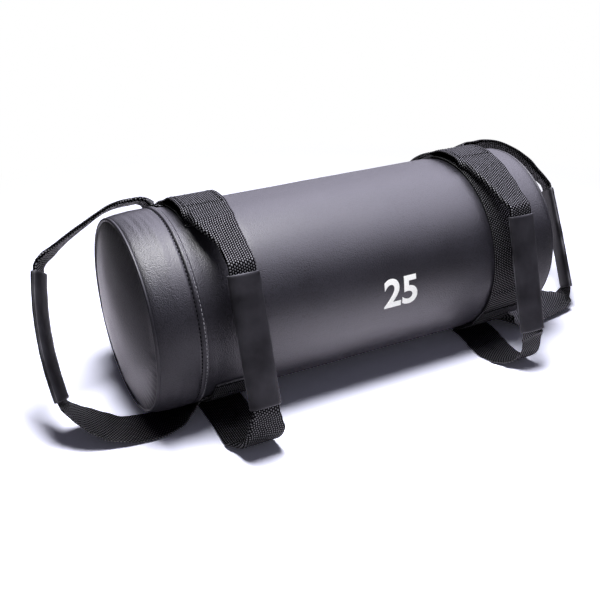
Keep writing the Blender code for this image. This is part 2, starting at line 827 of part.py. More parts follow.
# The part's origin is the middle of its footprint, on the surface it stands on
def centre_part(frame):
    bpy.context.view_layer.update()
    lows = [math.inf, math.inf]
    highs = [-math.inf, -math.inf]
    for item in bpy.data.objects:
        if item.type != "MESH":
            continue
        for vertex in item.data.vertices:
            place = item.matrix_world @ vertex.co
            for side in (0, 1):
                lows[side] = min(lows[side], place[side])
                highs[side] = max(highs[side], place[side])
    frame.location = (-(lows[0] + highs[0]) / 2, -(lows[1] + highs[1]) / 2, 0)
    bpy.context.view_layer.update()


def build():
    clear_scene()
    materials = {
        "shell": make_material("shell_vinyl", (0.036, 0.035, 0.040), 0.38),
        "lid": make_material("lid_vinyl", (0.038, 0.037, 0.042), 0.38),
        "cap": make_material("cap_vinyl", (0.036, 0.035, 0.040), 0.36),
        "piping": make_material("piping_vinyl", (0.050, 0.049, 0.055), 0.35),
        "foam": make_material("padding_foam", (0.75, 0.74, 0.70), 0.95),
        "sack": make_material("sack_film", (0.80, 0.81, 0.82), 0.45),
        "tie": make_material("tie_nylon", (0.88, 0.88, 0.86), 0.40),
        "sand": make_material("quartz_sand", (0.55, 0.44, 0.28), 0.95),
        "webbing": make_material("black_webbing", (0.022, 0.022, 0.024), 0.80),
        "grip": make_material("grip_rubber", (0.045, 0.045, 0.050), 0.55),
    }
    frame = make_empty("sandbag_frame", (0, 0, 0), None)
    make_shell(materials["shell"], frame)
    make_lid_band(materials["lid"], frame)
    for name, side in (("left", -1), ("right", 1)):
        make_cap(name + "_end_cap", side, materials["cap"], frame)
        make_ring(name + "_end_piping", side * bag_half_length, end_radius, piping_radius,
                  bag_segments, materials["piping"], frame)
        make_end_foam(name + "_end_foam", side, side < 0, materials["foam"], frame)
    make_foam_sleeve(materials["foam"], frame)
    make_liner(materials["sack"], frame)
    make_ring("sack_tie", -liner_face - tie_offset, neck_radius + fit_gap + tie_radius, tie_radius,
              inner_segments // 2, materials["tie"], frame)
    make_sand(materials["sand"], frame)
    make_strap("left_girth_strap", strap_left_x, left_strap_front_degrees,
               side_sewing_degrees - 360, materials["webbing"], frame)
    make_strap("right_girth_strap", strap_right_x, 0, -360, materials["webbing"], frame)
    make_side_handle("left", strap_left_x, (left_drift, left_floor_drift),
                     (left_grip_out, left_grip_up, left_grip_lean_degrees),
                     left_side_upper_shares, left_side_lower_shares, materials, frame)
    make_side_handle("right", strap_right_x, (right_drift, right_floor_drift),
                     (right_grip_out, right_grip_up, right_grip_lean_degrees),
                     right_side_upper_shares, right_side_lower_shares, materials, frame)
    make_end_handle("left", -1, strap_left_x,
                    (left_end_grip_out, left_end_grip_up, left_end_grip_lean_degrees,
                     left_end_grip_twist_degrees, left_end_grip_bow),
                    left_end_upper_shares, left_end_lower_shares, materials, frame)
    make_end_handle("right", 1, strap_right_x,
                    (right_end_grip_out, right_end_grip_up, right_end_grip_lean_degrees,
                     right_end_grip_twist_degrees, right_end_grip_bow),
                    right_end_upper_shares, right_end_lower_shares, materials, frame)
    centre_part(frame)


build()
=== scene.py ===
import math

import bmesh
import bpy
from mathutils import Matrix, Vector, noise


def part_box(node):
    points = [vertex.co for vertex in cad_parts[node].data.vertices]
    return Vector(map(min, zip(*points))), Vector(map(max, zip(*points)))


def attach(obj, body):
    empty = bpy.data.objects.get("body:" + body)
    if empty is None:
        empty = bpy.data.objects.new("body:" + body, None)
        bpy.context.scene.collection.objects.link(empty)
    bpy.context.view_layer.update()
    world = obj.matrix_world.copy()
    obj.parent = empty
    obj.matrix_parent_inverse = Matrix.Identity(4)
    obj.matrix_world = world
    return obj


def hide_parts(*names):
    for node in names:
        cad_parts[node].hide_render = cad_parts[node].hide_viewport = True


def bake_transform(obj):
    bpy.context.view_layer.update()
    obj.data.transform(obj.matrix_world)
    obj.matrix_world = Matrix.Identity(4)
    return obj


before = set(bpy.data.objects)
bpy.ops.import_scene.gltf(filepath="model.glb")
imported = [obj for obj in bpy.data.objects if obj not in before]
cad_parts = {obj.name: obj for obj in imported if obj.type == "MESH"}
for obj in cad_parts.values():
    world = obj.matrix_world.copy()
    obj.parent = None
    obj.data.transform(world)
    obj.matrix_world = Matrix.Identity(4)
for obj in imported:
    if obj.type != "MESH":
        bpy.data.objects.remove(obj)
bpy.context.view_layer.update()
print("frame loaded")

# The bag's frame, read off the solids: its axis runs along X at this place and height
bag = {"radius": 0.104, "sag": 0.0031, "halfLength": 0.2414, "vinyl": 0.0012,
       "shoulderLength": 0.012, "shoulderDrop": 0.0031, "seam": 0.0008, "gap": 0.0003, "floorClearance": 0.0004}
panelLow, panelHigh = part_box("shell_panel")
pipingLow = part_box("left_end_piping")[0]
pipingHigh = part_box("right_end_piping")[1]
midX = (pipingLow.x + pipingHigh.x) / 2
axisY = (panelLow.y + panelHigh.y) / 2
axisZ = panelHigh.z - bag["radius"]


# Camera: the photograph's place, turned to its direction
camera = {"place": (-0.4513, -0.7492, 0.5370), "yaw": 27.664, "pitch": 27.901, "lens": 51.956, "sensor": 36.0}


def makeCamera():
    data = bpy.data.cameras.new("camera")
    data.lens = camera["lens"]
    data.sensor_width = camera["sensor"]
    item = bpy.data.objects.new("camera", data)
    bpy.context.scene.collection.objects.link(item)
    yaw, pitch = math.radians(camera["yaw"]), math.radians(camera["pitch"])
    look = Vector((math.sin(yaw) * math.cos(pitch), math.cos(yaw) * math.cos(pitch), -math.sin(pitch)))
    item.location = camera["place"]
    item.rotation_euler = look.to_track_quat("-Z", "Y").to_euler()
    bpy.context.scene.camera = item


makeCamera()
print("camera set")


# Grips
grip = {"length": 0.130, "width": 0.033, "height": 0.010, "wall": 0.0025, "travel": 0.005, "bend": 0.002,
        "runKeys": 6, "sides": 64, "rows": 40, "bevel": 0.0005, "soft": 0.0004, "softSizes": (0.016, 0.02, 0.01),
        "roundness": (0.76, 0.9)}


# Lengths along the middle of a route that passes straight through a grip
def runLengths(above):
    start = -grip["travel"] - above
    end = grip["length"] + grip["bend"]
    run = [start + (end - start) * step / (grip["runKeys"] - 1) for step in range(grip["runKeys"])]
    return [start - above] + run + [end + grip["bend"]]


# From zero in a grip's upper half to one in its lower half
def inGrip(length):
    return ease(2 * length / grip["length"] - 0.5)


# The flattened tube: flat faces and tight rounded edges, with a slightly rounded cut at each end
def tubeOutline(width, height):
    outline = []
    wide, high = grip["roundness"]
    for step in range(grip["sides"]):
        angle = 2 * math.pi * step / grip["sides"]
        c, s = math.cos(angle), math.sin(angle)
        outline.append((math.copysign(abs(c) ** wide, c) * width / 2, math.copysign(abs(s) ** high, s) * height / 2))
    return outline


def outlineLengths(outline):
    lengths = [0.0]
    for one, two in zip(outline, outline[1:]):
        lengths.append(lengths[-1] + math.dist(one, two))
    return lengths


# Places round the tube's outline of its two narrow edges
def sleeveEdges():
    lengths = outlineLengths(tubeOutline(grip["width"], grip["height"]))
    return 0.0, lengths[grip["sides"] // 2], lengths[-1]


# Materials
def hexColour(text):
    channels = [int(text[i:i + 2], 16) / 255 for i in (1, 3, 5)]
    return (*[c / 12.92 if c <= 0.04045 else ((c + 0.055) / 1.055) ** 2.4 for c in channels], 1.0)


# Sets a node's inputs to values, sockets or nodes. A node stands for its first live output.
def setInputs(tree, node, inputs):
    for key, value in inputs.items():
        if isinstance(value, bpy.types.Node):
            value = next(output for output in value.outputs if output.enabled)
        if isinstance(value, bpy.types.NodeSocket):
            tree.links.new(value, node.inputs[key])
        else:
            node.inputs[key].default_value = value


def addNode(tree, kind, inputs=(), **settings):
    node = tree.nodes.new(kind)
    for name, value in settings.items():
        setattr(node, name, value)
    setInputs(tree, node, dict(inputs))
    return node


def newMaterial(name, **shaderInputs):
    material = bpy.data.materials.new(name)
    material.use_nodes = True
    tree = material.node_tree
    shader = tree.nodes["Principled BSDF"]
    for key, value in shaderInputs.items():
        shader.inputs[key.replace("_", " ")].default_value = value
    return material, tree, shader


# One colour up to a factor's start, another from its end on
def colourRange(tree, factor, low, high, start, end):
    share = addNode(tree, "ShaderNodeMapRange", {"Value": factor, "From Min": start, "From Max": end})
    return addNode(tree, "ShaderNodeMix", {"Factor": share, 6: hexColour(low), 7: hexColour(high)}, data_type="RGBA")


# PVC leathercloth: knitted backing under a coat of soft PVC with a pebble grain pressed into it.
# It looks nearly black, with a broad soft shine that the grain breaks up, and painted shade darkens the grain's
# valleys.
leathercloth = {"dark": "#1E1D23", "light": "#25242B", "valleyShade": "#111014", "roughness": 0.40, "roughLess": 0.03,
                "roughMore": 0.04, "grainMm": 1.15, "grainDepthMm": 0.21, "fineMm": 0.5, "fineDepthMm": 0.02,
                "broadMm": 71.42857, "valleyShadeEdges": (0.35, 0.75), "valleyShadeShare": 0.85}


def makeLeathercloth(name, settings):
    material, tree, shader = newMaterial(name, IOR=1.54)
    place = addNode(tree, "ShaderNodeTexCoord").outputs["Object"]
    cells = addNode(tree, "ShaderNodeTexVoronoi", {"Vector": place, "Scale": 1000 / settings["grainMm"],
                                                   "Smoothness": 0.5}, feature="SMOOTH_F1")
    fine, broad = [addNode(tree, "ShaderNodeTexNoise", {"Vector": place, "Scale": 1000 / size, "Detail": detail})
                   for size, detail in ((settings["fineMm"], 2.0), (settings["broadMm"], 3.0))]
    # Painted shade: the grain's valleys take a darker colour, as if in shadow
    valleyShade = addNode(tree, "ShaderNodeMapRange", {"Value": cells, "From Min": settings["valleyShadeEdges"][0],
                                                  "From Max": settings["valleyShadeEdges"][1],
                                                  "To Max": settings["valleyShadeShare"]})
    cloth = colourRange(tree, broad, settings["dark"], settings["light"], 0.35, 0.65)
    colour = addNode(tree, "ShaderNodeMix", {"Factor": valleyShade, 6: cloth, 7: hexColour(settings["valleyShade"])},
                     data_type="RGBA")
    wearAndHighlight = addNode(tree, "ShaderNodeMapRange", {"Value": broad, "From Min": 0.3, "From Max": 0.7,
                                                "To Min": settings["roughness"] - settings["roughLess"],
                                                "To Max": settings["roughness"] + settings["roughMore"]})
    small = addNode(tree, "ShaderNodeBump", {"Height": fine, "Distance": settings["fineDepthMm"] / 1000})
    pebble = addNode(tree, "ShaderNodeBump", {"Height": cells, "Normal": small,
                                              "Distance": settings["grainDepthMm"] / 1000}, invert=True)
    setInputs(tree, shader, {"Base Color": colour, "Roughness": wearAndHighlight, "Normal": pebble})
    return material


# Woven polyester webbing: thick warp yarns over a fine weft. Each float is a small bright dome
# between dark gaps: its top is painted lighter as a highlight and the gaps are painted near black as shade.
# The pattern follows the webbing through its own UV map, in metres.
webbingFinish = {"gap": "#010102", "yarn": "#58585D", "shine": 0.88, "columnMm": 2.35, "floatMm": 2.9,
                 "depthMm": 0.5, "roughness": 0.46, "selvedge": "#0C0C0D", "selvedgeMm": 1.4, "fuzzMm": 1.111111,
                 "fuzzShare": 0.25, "roundness": 0.8, "floatShadeEdges": (0.62, 0.97), "shineEdges": (0.45, 0.95)}


def makeWebbingMaterial(name, settings, width):
    material, tree, shader = newMaterial(name, Roughness=settings["roughness"], IOR=1.5)
    uv = addNode(tree, "ShaderNodeUVMap", uv_map="UVMap")
    split = addNode(tree, "ShaderNodeSeparateXYZ", {"Vector": uv})
    column, row = [addNode(tree, "ShaderNodeMath", {0: split.outputs[axis], 1: settings[size] / 1000},
                           operation="DIVIDE") for axis, size in (("Y", "columnMm"), ("X", "floatMm"))]
    shifted = column
    for operation, value in (("FLOOR", 0.0), ("MODULO", 2.0), ("MULTIPLY", 0.5), ("ADD", row)):
        shifted = addNode(tree, "ShaderNodeMath", {0: shifted, 1: value}, operation=operation)
    domes = []
    for dome in (column, shifted):
        for operation, value in (("FRACT", 0.0), ("MULTIPLY", math.pi), ("SINE", 0.0),
                                 ("POWER", settings["roundness"])):
            dome = addNode(tree, "ShaderNodeMath", {0: dome, 1: value}, operation=operation)
        domes.append(dome)
    dome = addNode(tree, "ShaderNodeMath", {0: domes[0], 1: domes[1]}, operation="MULTIPLY")
    fuzz = addNode(tree, "ShaderNodeTexNoise", {"Vector": uv, "Scale": 1000 / settings["fuzzMm"], "Detail": 3.0})
    height = addNode(tree, "ShaderNodeMath", {0: fuzz, 1: settings["fuzzShare"], 2: dome}, operation="MULTIPLY_ADD")
    edge = addNode(tree, "ShaderNodeMath", {0: split.outputs["Y"]}, operation="ABSOLUTE")
    onEdge = addNode(tree, "ShaderNodeMapRange", {"Value": edge, "From Max": width / 2,
                                                  "From Min": width / 2 - settings["selvedgeMm"] / 1000})
    # Painted shade and highlight: near black in the gaps between floats, light grey on their tops
    yarn = colourRange(tree, dome, settings["gap"], settings["yarn"], *settings["floatShadeEdges"])
    colour = addNode(tree, "ShaderNodeMix", {"Factor": onEdge, 6: yarn, 7: hexColour(settings["selvedge"])},
                     data_type="RGBA")
    shine = addNode(tree, "ShaderNodeMapRange", {"Value": dome, "From Min": settings["shineEdges"][0],
                                                 "From Max": settings["shineEdges"][1],
                                                 "To Max": settings["shine"]})
    bump = addNode(tree, "ShaderNodeBump", {"Height": height, "Distance": settings["depthMm"] / 1000})
    setInputs(tree, shader, {"Base Color": colour, "Specular IOR Level": shine, "Normal": bump})
    return material


# Extruded rubber sleeve: matt, with faint draw lines along it and a dusty bloom, and a painted highlight in light
# grey along its narrow edges and cut ends
# The lightest grey here is a painted highlight for the sleeve's edges and cut ends; the other colours are the
# rubber's own tones
sleeveFinish = {"dark": "#0F0E12", "light": "#28272C", "wearAndHighlight": "#6C6B73", "edgeHighlightMm": 1.1, "roughness": 0.52,
                "roughLess": 0.04, "roughMore": 0.06, "grainMm": 0.9, "depthMm": 0.05, "drawMm": 0.04,
                "bloomMm": 28.571429}


def makeSleeveMaterial(name, settings):
    material, tree, shader = newMaterial(name, IOR=1.5)
    uv = addNode(tree, "ShaderNodeUVMap", uv_map="UVMap")
    place = addNode(tree, "ShaderNodeTexCoord").outputs["Object"]
    drawn = addNode(tree, "ShaderNodeMapping", {"Vector": uv, "Scale": (60.0, 900.0, 1.0)})
    lines = addNode(tree, "ShaderNodeTexNoise", {"Vector": drawn, "Scale": 1.0, "Detail": 2.0})
    grain, bloom = [addNode(tree, "ShaderNodeTexNoise", {"Vector": place, "Scale": 1000 / size, "Detail": detail})
                    for size, detail in ((settings["grainMm"], 3.0), (settings["bloomMm"], 4.0))]
    split = addNode(tree, "ShaderNodeSeparateXYZ", {"Vector": uv})
    # Painted highlight: light grey near the tube's two narrow edges and its cut ends, in patches where the bloom is
    # strong
    nearest = 1.0
    for axis, middles in (("Y", sleeveEdges()), ("X", (0.0, grip["length"]))):
        for middle in middles:
            away = split.outputs[axis]
            for operation, value in (("SUBTRACT", middle), ("ABSOLUTE", 0.0), ("MINIMUM", nearest)):
                away = addNode(tree, "ShaderNodeMath", {0: away, 1: value}, operation=operation)
            nearest = away
    edge = addNode(tree, "ShaderNodeMapRange", {"Value": nearest, "From Max": settings["edgeHighlightMm"] / 1000,
                                                "To Min": 1.0, "To Max": 0.0})
    patchy = addNode(tree, "ShaderNodeMapRange", {"Value": bloom, "From Min": 0.38, "From Max": 0.62})
    edgeHighlight = addNode(tree, "ShaderNodeMath", {0: edge, 1: patchy}, operation="MULTIPLY")
    rubber = colourRange(tree, bloom, settings["dark"], settings["light"], 0.35, 0.7)
    colour = addNode(tree, "ShaderNodeMix", {"Factor": edgeHighlight, 6: rubber, 7: hexColour(settings["wearAndHighlight"])},
                     data_type="RGBA")
    dusty = addNode(tree, "ShaderNodeMapRange", {"Value": bloom, "From Min": 0.3, "From Max": 0.7,
                                                 "To Min": settings["roughness"] - settings["roughLess"],
                                                 "To Max": settings["roughness"] + settings["roughMore"]})
    first = addNode(tree, "ShaderNodeBump", {"Height": lines, "Distance": settings["drawMm"] / 1000})
    second = addNode(tree, "ShaderNodeBump", {"Height": grain, "Normal": first,
                                              "Distance": settings["depthMm"] / 1000})
    setInputs(tree, shader, {"Base Color": colour, "Roughness": dusty, "Normal": second, "Specular IOR Level": 0.3})
    return material


# Grained materials of one colour range: thread, ink, foam, film and sand
def makeGrained(name, dark, light, roughness, grainMm, depthMm, **shaderInputs):
    material, tree, shader = newMaterial(name, Roughness=roughness, **shaderInputs)
    place = addNode(tree, "ShaderNodeTexCoord").outputs["Object"]
    grain = addNode(tree, "ShaderNodeTexNoise", {"Vector": place, "Scale": 1000 / grainMm, "Detail": 3.0})
    bump = addNode(tree, "ShaderNodeBump", {"Height": grain, "Distance": depthMm / 1000})
    setInputs(tree, shader, {"Base Color": colourRange(tree, grain, dark, light, 0.35, 0.65), "Normal": bump})
    return material


skinVinyl = makeLeathercloth("embossedPvcLeathercloth", leathercloth)
pipingVinyl = makeLeathercloth("stretchedPvcPiping", {**leathercloth, "grainMm": 0.8, "grainDepthMm": 0.03})
sleeveRubber = makeSleeveMaterial("extrudedRubberSleeve", sleeveFinish)
threadBlack = makeGrained("bondedPolyesterThreadBlack", "#070708", "#0E0E10", 0.9, 0.6, 0.03,
                          Specular_IOR_Level=0.08)
# Painted glint: the edge row's thread is light grey, standing in for the light glinting on its stitches
threadGlint = makeGrained("bondedPolyesterThreadPaintedGlint", "#6C6B72", "#A3A2AA", 0.35, 0.6, 0.03)
printInk = makeGrained("screenPrintedWhiteInk", "#F4F4F5", "#FFFFFF", 0.50, 1.2, 0.02)
print("materials made")


# Objects and meshes
def addObject(name, data):
    item = bpy.data.objects.new(name, data)
    bpy.context.scene.collection.objects.link(item)
    return item


def finishMesh(name, points, faces, material, uvs=None, sharp=50):
    mesh = bpy.data.meshes.new(name)
    mesh.from_pydata([tuple(p) for p in points], [], faces)
    if uvs is not None:
        layer = mesh.uv_layers.new(name="UVMap")
        flat = [value for face in uvs for corner in face for value in corner]
        layer.data.foreach_set("uv", flat)
    mesh.shade_smooth()
    mesh.set_sharp_from_angle(angle=math.radians(sharp))
    mesh.materials.append(material)
    bm = bmesh.new()
    bm.from_mesh(mesh)
    bmesh.ops.recalc_face_normals(bm, faces=bm.faces)
    bm.to_mesh(mesh)
    bm.free()
    return addObject(name, mesh)


def ease(share):
    share = min(max(share, 0.0), 1.0)
    return share * share * (3 - 2 * share)


def onBag(x, angle, radius):
    return Vector((midX + x, axisY - radius * math.sin(angle), axisZ + radius * math.cos(angle)))


# A point on a layer of the bag, flattened where the bag rests
def layerPoint(x, angle, radius, layerRadius):
    point = onBag(x, angle, radius)
    point.z = max(point.z, axisZ - layerRadius + bag["sag"])
    return point


# A skin turned about the bag's axis. outer and inner are lists of (x, radius, layerRadius). relief
# gives how far the outer face moves along the bag and away from its axis at each place, in metres.
def makeSkin(name, outer, inner, segments, relief, material):
    points = []
    rings = []
    for index, (x, radius, layerRadius) in enumerate(outer + inner):
        if radius == 0:
            rings.append([len(points)])
            points.append(Vector((midX + x, axisY, axisZ)))
            continue
        ring = []
        for step in range(segments):
            angle = 2 * math.pi * step / segments
            along, lift = relief(x, angle, radius) if index < len(outer) else (0.0, 0.0)
            ring.append(len(points))
            points.append(layerPoint(x, angle, radius + lift, layerRadius) + Vector((along, 0, 0)))
        rings.append(ring)
    faces = []
    closed = len(rings[0]) > 1
    count = len(rings) if closed else len(rings) - 1
    for index in range(count):
        one = rings[index]
        two = rings[(index + 1) % len(rings)]
        for step in range(segments):
            after = (step + 1) % segments
            if len(one) == 1:
                faces.append((one[0], two[step], two[after]))
            elif len(two) == 1:
                faces.append((one[step], two[0], one[after]))
            else:
                faces.append((one[step], two[step], two[after], one[after]))
    return finishMesh(name, points, faces, material)


def shoulderRadius(distance):
    start = bag["halfLength"] - bag["shoulderLength"]
    if distance <= start:
        return bag["radius"]
    share = min((distance - start) / bag["shoulderLength"], 1.0)
    return bag["radius"] - bag["shoulderDrop"] * (1 - math.sqrt(1 - share * share))


# Smooth noise on the bag's skin: soft swells of the filling under the cloth
def swell(x, angle, size, seed):
    radius = bag["radius"]
    return noise.noise(Vector((x / size + seed, radius * math.cos(angle) / size, radius * math.sin(angle) / size)))


# Creases that run round the bag: long along the girth and narrow along the bag
def girthCrease(x, angle, width, length, seed):
    turn = Vector((math.cos(angle), math.sin(angle))) * bag["radius"] / length
    return noise.noise(Vector((x / width + 0.6 * noise.noise(Vector((turn.x, turn.y, seed))), turn.x, turn.y + seed)))


# Main panel of the shell
panel = {"start": -0.2138, "stationMm": 3.0, "segments": 300, "swellMm": 0.45, "swellSize": 0.075,
         "rippleShare": 0.35, "rippleSize": 0.030, "creaseMm": 0.05, "creaseSize": (0.016, 0.10),
         "seeds": (3.0, 9.0, 5.0), "strapPinchMm": 0.7, "strapCentres": (-0.156, 0.180),
         "strapReach": (0.022, 0.034), "turnReach": 0.008, "turnSteps": 4}


def panelRelief(x, angle, radius):
    swellSeed, rippleSeed, creaseSeed = panel["seeds"]
    lift = swell(x, angle, panel["swellSize"], swellSeed)
    lift += swell(x, angle, panel["rippleSize"], rippleSeed) * panel["rippleShare"]
    lift = lift * panel["swellMm"] + girthCrease(x, angle, *panel["creaseSize"], creaseSeed) * panel["creaseMm"]
    near, far = panel["strapReach"]
    for centre in panel["strapCentres"]:
        lift -= panel["strapPinchMm"] * (1 - ease((abs(x - centre) - near) / (far - near)))
    return 0.0, lift / 1000


def makePanel():
    end = bag["halfLength"] - bag["seam"]
    count = round((end - panel["start"]) / (panel["stationMm"] / 1000))
    outer = []
    for step in range(count + 1):
        x = panel["start"] + (end - panel["start"]) * step / count
        outer.append((x, shoulderRadius(x), bag["radius"]))
    for step in range(1, panel["turnSteps"] + 1):
        x = end - panel["turnReach"] * (1 - step / panel["turnSteps"]) ** 2
        outer.append((x, shoulderRadius(x), bag["radius"]))
    outer.sort()
    inner = [(x, shoulderRadius(x) - bag["vinyl"], bag["radius"] - bag["vinyl"])
             for x in (end, end - bag["shoulderLength"], 0.0, panel["start"])]
    return makeSkin("shellPanel", outer, inner, panel["segments"], panelRelief, skinVinyl)


# Lid band: it laps over the panel, with its edge turned under and sewn down in two rows
lid = {"edge": -0.1918, "rampStart": -0.2141, "rampEnd": -0.2370, "segments": 360, "rings": 50, "rise": 0.0015,
       "cloth": 0.047, "rowOne": -0.1984, "rowTwo": -0.1937, "grooveMm": 1.0, "grooveWidthMm": 1.2,
       "edgeGrooveShare": 0.35, "edgeGrooveWidthMm": 0.8, "pullShare": 0.25, "puffMm": 0.6, "swellMm": 0.4,
       "swellSize": 0.05, "creaseMm": 0.55, "creaseSize": (0.0065, 0.09), "creaseShare": 0.12,
       "creaseAngles": ((14.0, 26.0, 1.0), (118.0, 24.0, 0.9)), "seeds": (31.0, 41.0), "stitchPitchMm": 4.4,
       "turnRise": 0.001, "turnFall": 0.0012, "lip": 0.0004, "lipDrop": 0.0005}


def lidRadius(x):
    up = ease((x - lid["rampEnd"]) / (lid["rampStart"] - lid["rampEnd"]))
    return shoulderRadius(-x) + lid["rise"] * up


def lidRelief(x, angle, radius):
    creaseSeed, swellSeed = lid["seeds"]
    fromEnd = (x + bag["halfLength"]) / lid["cloth"]
    field = 0.45 + 0.55 * ease((fromEnd - 0.05) / 0.3) * (1 - ease((fromEnd - 0.82) / 0.1))
    patch = lid["creaseShare"]
    for middle, reach, share in lid["creaseAngles"]:
        off = math.degrees(math.remainder(angle - math.radians(middle), 2 * math.pi)) / reach
        patch += share * math.exp(-off * off)
    mm = lid["creaseMm"] * girthCrease(x, angle, *lid["creaseSize"], creaseSeed) * field * patch
    mm += lid["swellMm"] * swell(x, angle, lid["swellSize"], swellSeed)
    off = (x - lid["rowOne"]) * 1000 / lid["grooveWidthMm"]
    along = angle * bag["radius"] * 1000 / lid["stitchPitchMm"] * 2 * math.pi
    mm -= lid["grooveMm"] * math.exp(-off * off) * (1 + lid["pullShare"] * math.cos(along))
    off = (x - lid["rowTwo"]) * 1000 / lid["edgeGrooveWidthMm"]
    mm -= lid["edgeGrooveShare"] * lid["grooveMm"] * math.exp(-off * off)
    strip = ease((x - lid["rowOne"]) / lid["turnRise"]) * (1 - ease((x - lid["edge"]) / lid["turnFall"] + 1))
    return 0.0, (mm + lid["puffMm"] * strip) / 1000


def makeLid():
    start = -bag["halfLength"] + bag["seam"]
    outer = []
    for step in range(lid["rings"]):
        x = start + (lid["edge"] - lid["lip"] - start) * step / (lid["rings"] - 1)
        outer.append((x, lidRadius(x), bag["radius"] + (lid["rise"] if x > lid["rampStart"] else 0.0)))
    top = bag["radius"] + lid["rise"]
    outer.append((lid["edge"], top - lid["lipDrop"], top))
    inner = []
    for x in (lid["edge"], lid["rampStart"], lid["rampEnd"], -bag["halfLength"] + bag["shoulderLength"], start):
        level = lidRadius(x)
        inner.append((x, level - bag["vinyl"], bag["radius"] + (lid["rise"] if x > lid["rampEnd"] else 0.0)
                      - bag["vinyl"]))
    return makeSkin("lidBand", outer, inner, lid["segments"], lidRelief, skinVinyl)


# End caps: crowned discs, gathered a little along the piped seam
cap = {"rim": 0.0996, "crown": 0.013, "rings": 44, "segments": 300, "puckers": 64, "puckerMm": 0.6,
       "puckerReach": 0.024, "seamReach": 0.003, "topShare": 0.35, "foldShare": 1.2, "swellMm": 0.8,
       "swellSize": 0.05, "lowSide": 0.35, "wobble": 5.0, "wobbleSize": 3.0, "foldSizes": (9.0, 25.0),
       "rimReach": 0.01}


def makeCap(name, side):
    def capRelief(x, angle, radius):
        if radius == 0:
            return 0.0, 0.0
        inward = cap["rim"] - radius
        c, s = math.cos(angle), math.sin(angle)
        near = (1 - ease(inward / cap["puckerReach"])) * ease(inward / cap["seamReach"])
        low = cap["topShare"] + (1 - cap["topShare"]) * ease(0.5 - 0.9 * math.cos(angle - cap["lowSide"]))
        shift = cap["wobble"] * noise.noise(Vector((c * cap["wobbleSize"], s * cap["wobbleSize"], side)))
        wave = math.sin(angle * cap["puckers"] + shift)
        around, inwards = cap["foldSizes"]
        fold = noise.noise(Vector((c * around, s * around, radius * inwards + side)))
        mm = near * low * cap["puckerMm"] * (0.5 * wave + cap["foldShare"] * fold)
        place = Vector((c, s, 0)) * radius / cap["swellSize"]
        mm += cap["swellMm"] * noise.noise(Vector((place.x, place.y, 7.0 * side))) * ease(inward / cap["rimReach"])
        return side * mm / 1000, 0.0

    outer = []
    inner = []
    for step in range(cap["rings"] + 1):
        share = step / cap["rings"]
        radius = cap["rim"] * (1 - (1 - share) ** 1.6)
        x = bag["halfLength"] + cap["crown"] * (1 - (radius / cap["rim"]) ** 2)
        outer.append((side * x, radius, bag["radius"]))
    for share in (1.0, 0.75, 0.5, 0.25, 0.0):
        radius = cap["rim"] * share
        x = bag["halfLength"] + cap["crown"] * (1 - share ** 2) - bag["vinyl"]
        inner.append((side * x, radius, bag["radius"]))
    return makeSkin(name, outer, inner, cap["segments"], capRelief, skinVinyl)


# Piping: a round cord in a strip of vinyl, run round each end by Geometry Nodes
piping = {"ring": 0.1009, "tube": 0.0018, "segments": 260, "sides": 14, "wobbleMm": 0.5, "seed": 4,
          "merge": 0.00001, "flatShare": 0.35}


# A node tree with its sockets: geometry, the named sizes and counts, and a material
def newTree(name, sizes, counts):
    tree = bpy.data.node_groups.new(name, "GeometryNodeTree")
    sockets = [("Geometry", "Geometry"), *[(label, "Float") for label in sizes],
               *[(label, "Int") for label in counts], ("Material", "Material")]
    for label, kind in sockets:
        tree.interface.new_socket(label, in_out="INPUT", socket_type="NodeSocket" + kind)
    tree.interface.new_socket("Geometry", in_out="OUTPUT", socket_type="NodeSocketGeometry")
    return tree, addNode(tree, "NodeGroupInput").outputs


# The end of each tree: real, smooth geometry with its material
def endTree(tree, made, material):
    real = addNode(tree, "GeometryNodeRealizeInstances", {"Geometry": made})
    smooth = addNode(tree, "GeometryNodeSetShadeSmooth", {"Geometry": real})
    painted = addNode(tree, "GeometryNodeSetMaterial", {"Geometry": smooth, "Material": material})
    addNode(tree, "NodeGroupOutput", {"Geometry": painted})
    return tree


def makePipingTree():
    tree, given = newTree("pipingRing", ("Ring Radius", "Tube Radius", "Wobble"), ("Segments", "Sides", "Seed"))
    ring, profile = [addNode(tree, "GeometryNodeCurvePrimitiveCircle", {"Resolution": given[count],
                                                                        "Radius": given[size]})
                     for count, size in (("Segments", "Ring Radius"), ("Sides", "Tube Radius"))]
    waves = addNode(tree, "ShaderNodeTexNoise", {"Scale": 30.0, "W": given["Seed"]}, noise_dimensions="4D")
    centred = addNode(tree, "ShaderNodeVectorMath", {0: waves.outputs["Color"], 1: (0.5, 0.5, 0.5)},
                      operation="SUBTRACT")
    offset = addNode(tree, "ShaderNodeVectorMath", {0: centred, "Scale": given["Wobble"]}, operation="SCALE")
    moved = addNode(tree, "GeometryNodeSetPosition", {"Geometry": ring, "Offset": offset})
    swept = addNode(tree, "GeometryNodeCurveToMesh", {"Curve": moved, "Profile Curve": profile})
    return endTree(tree, swept, given["Material"])


def runTree(name, tree, values, source=None):
    mesh = source or bpy.data.meshes.new(name + "Seed")
    carrier = addObject(name + "Seed", mesh)
    modifier = carrier.modifiers.new("nodes", "NODES")
    modifier.node_group = tree
    for socket in tree.interface.items_tree:
        if socket.in_out == "INPUT" and socket.name in values:
            modifier[socket.identifier] = values[socket.name]
    depsgraph = bpy.context.evaluated_depsgraph_get()
    made = bpy.data.meshes.new_from_object(carrier.evaluated_get(depsgraph), depsgraph=depsgraph)
    made.name = name
    bpy.data.objects.remove(carrier, do_unlink=True)
    return addObject(name, made)


pipingTree = makePipingTree()


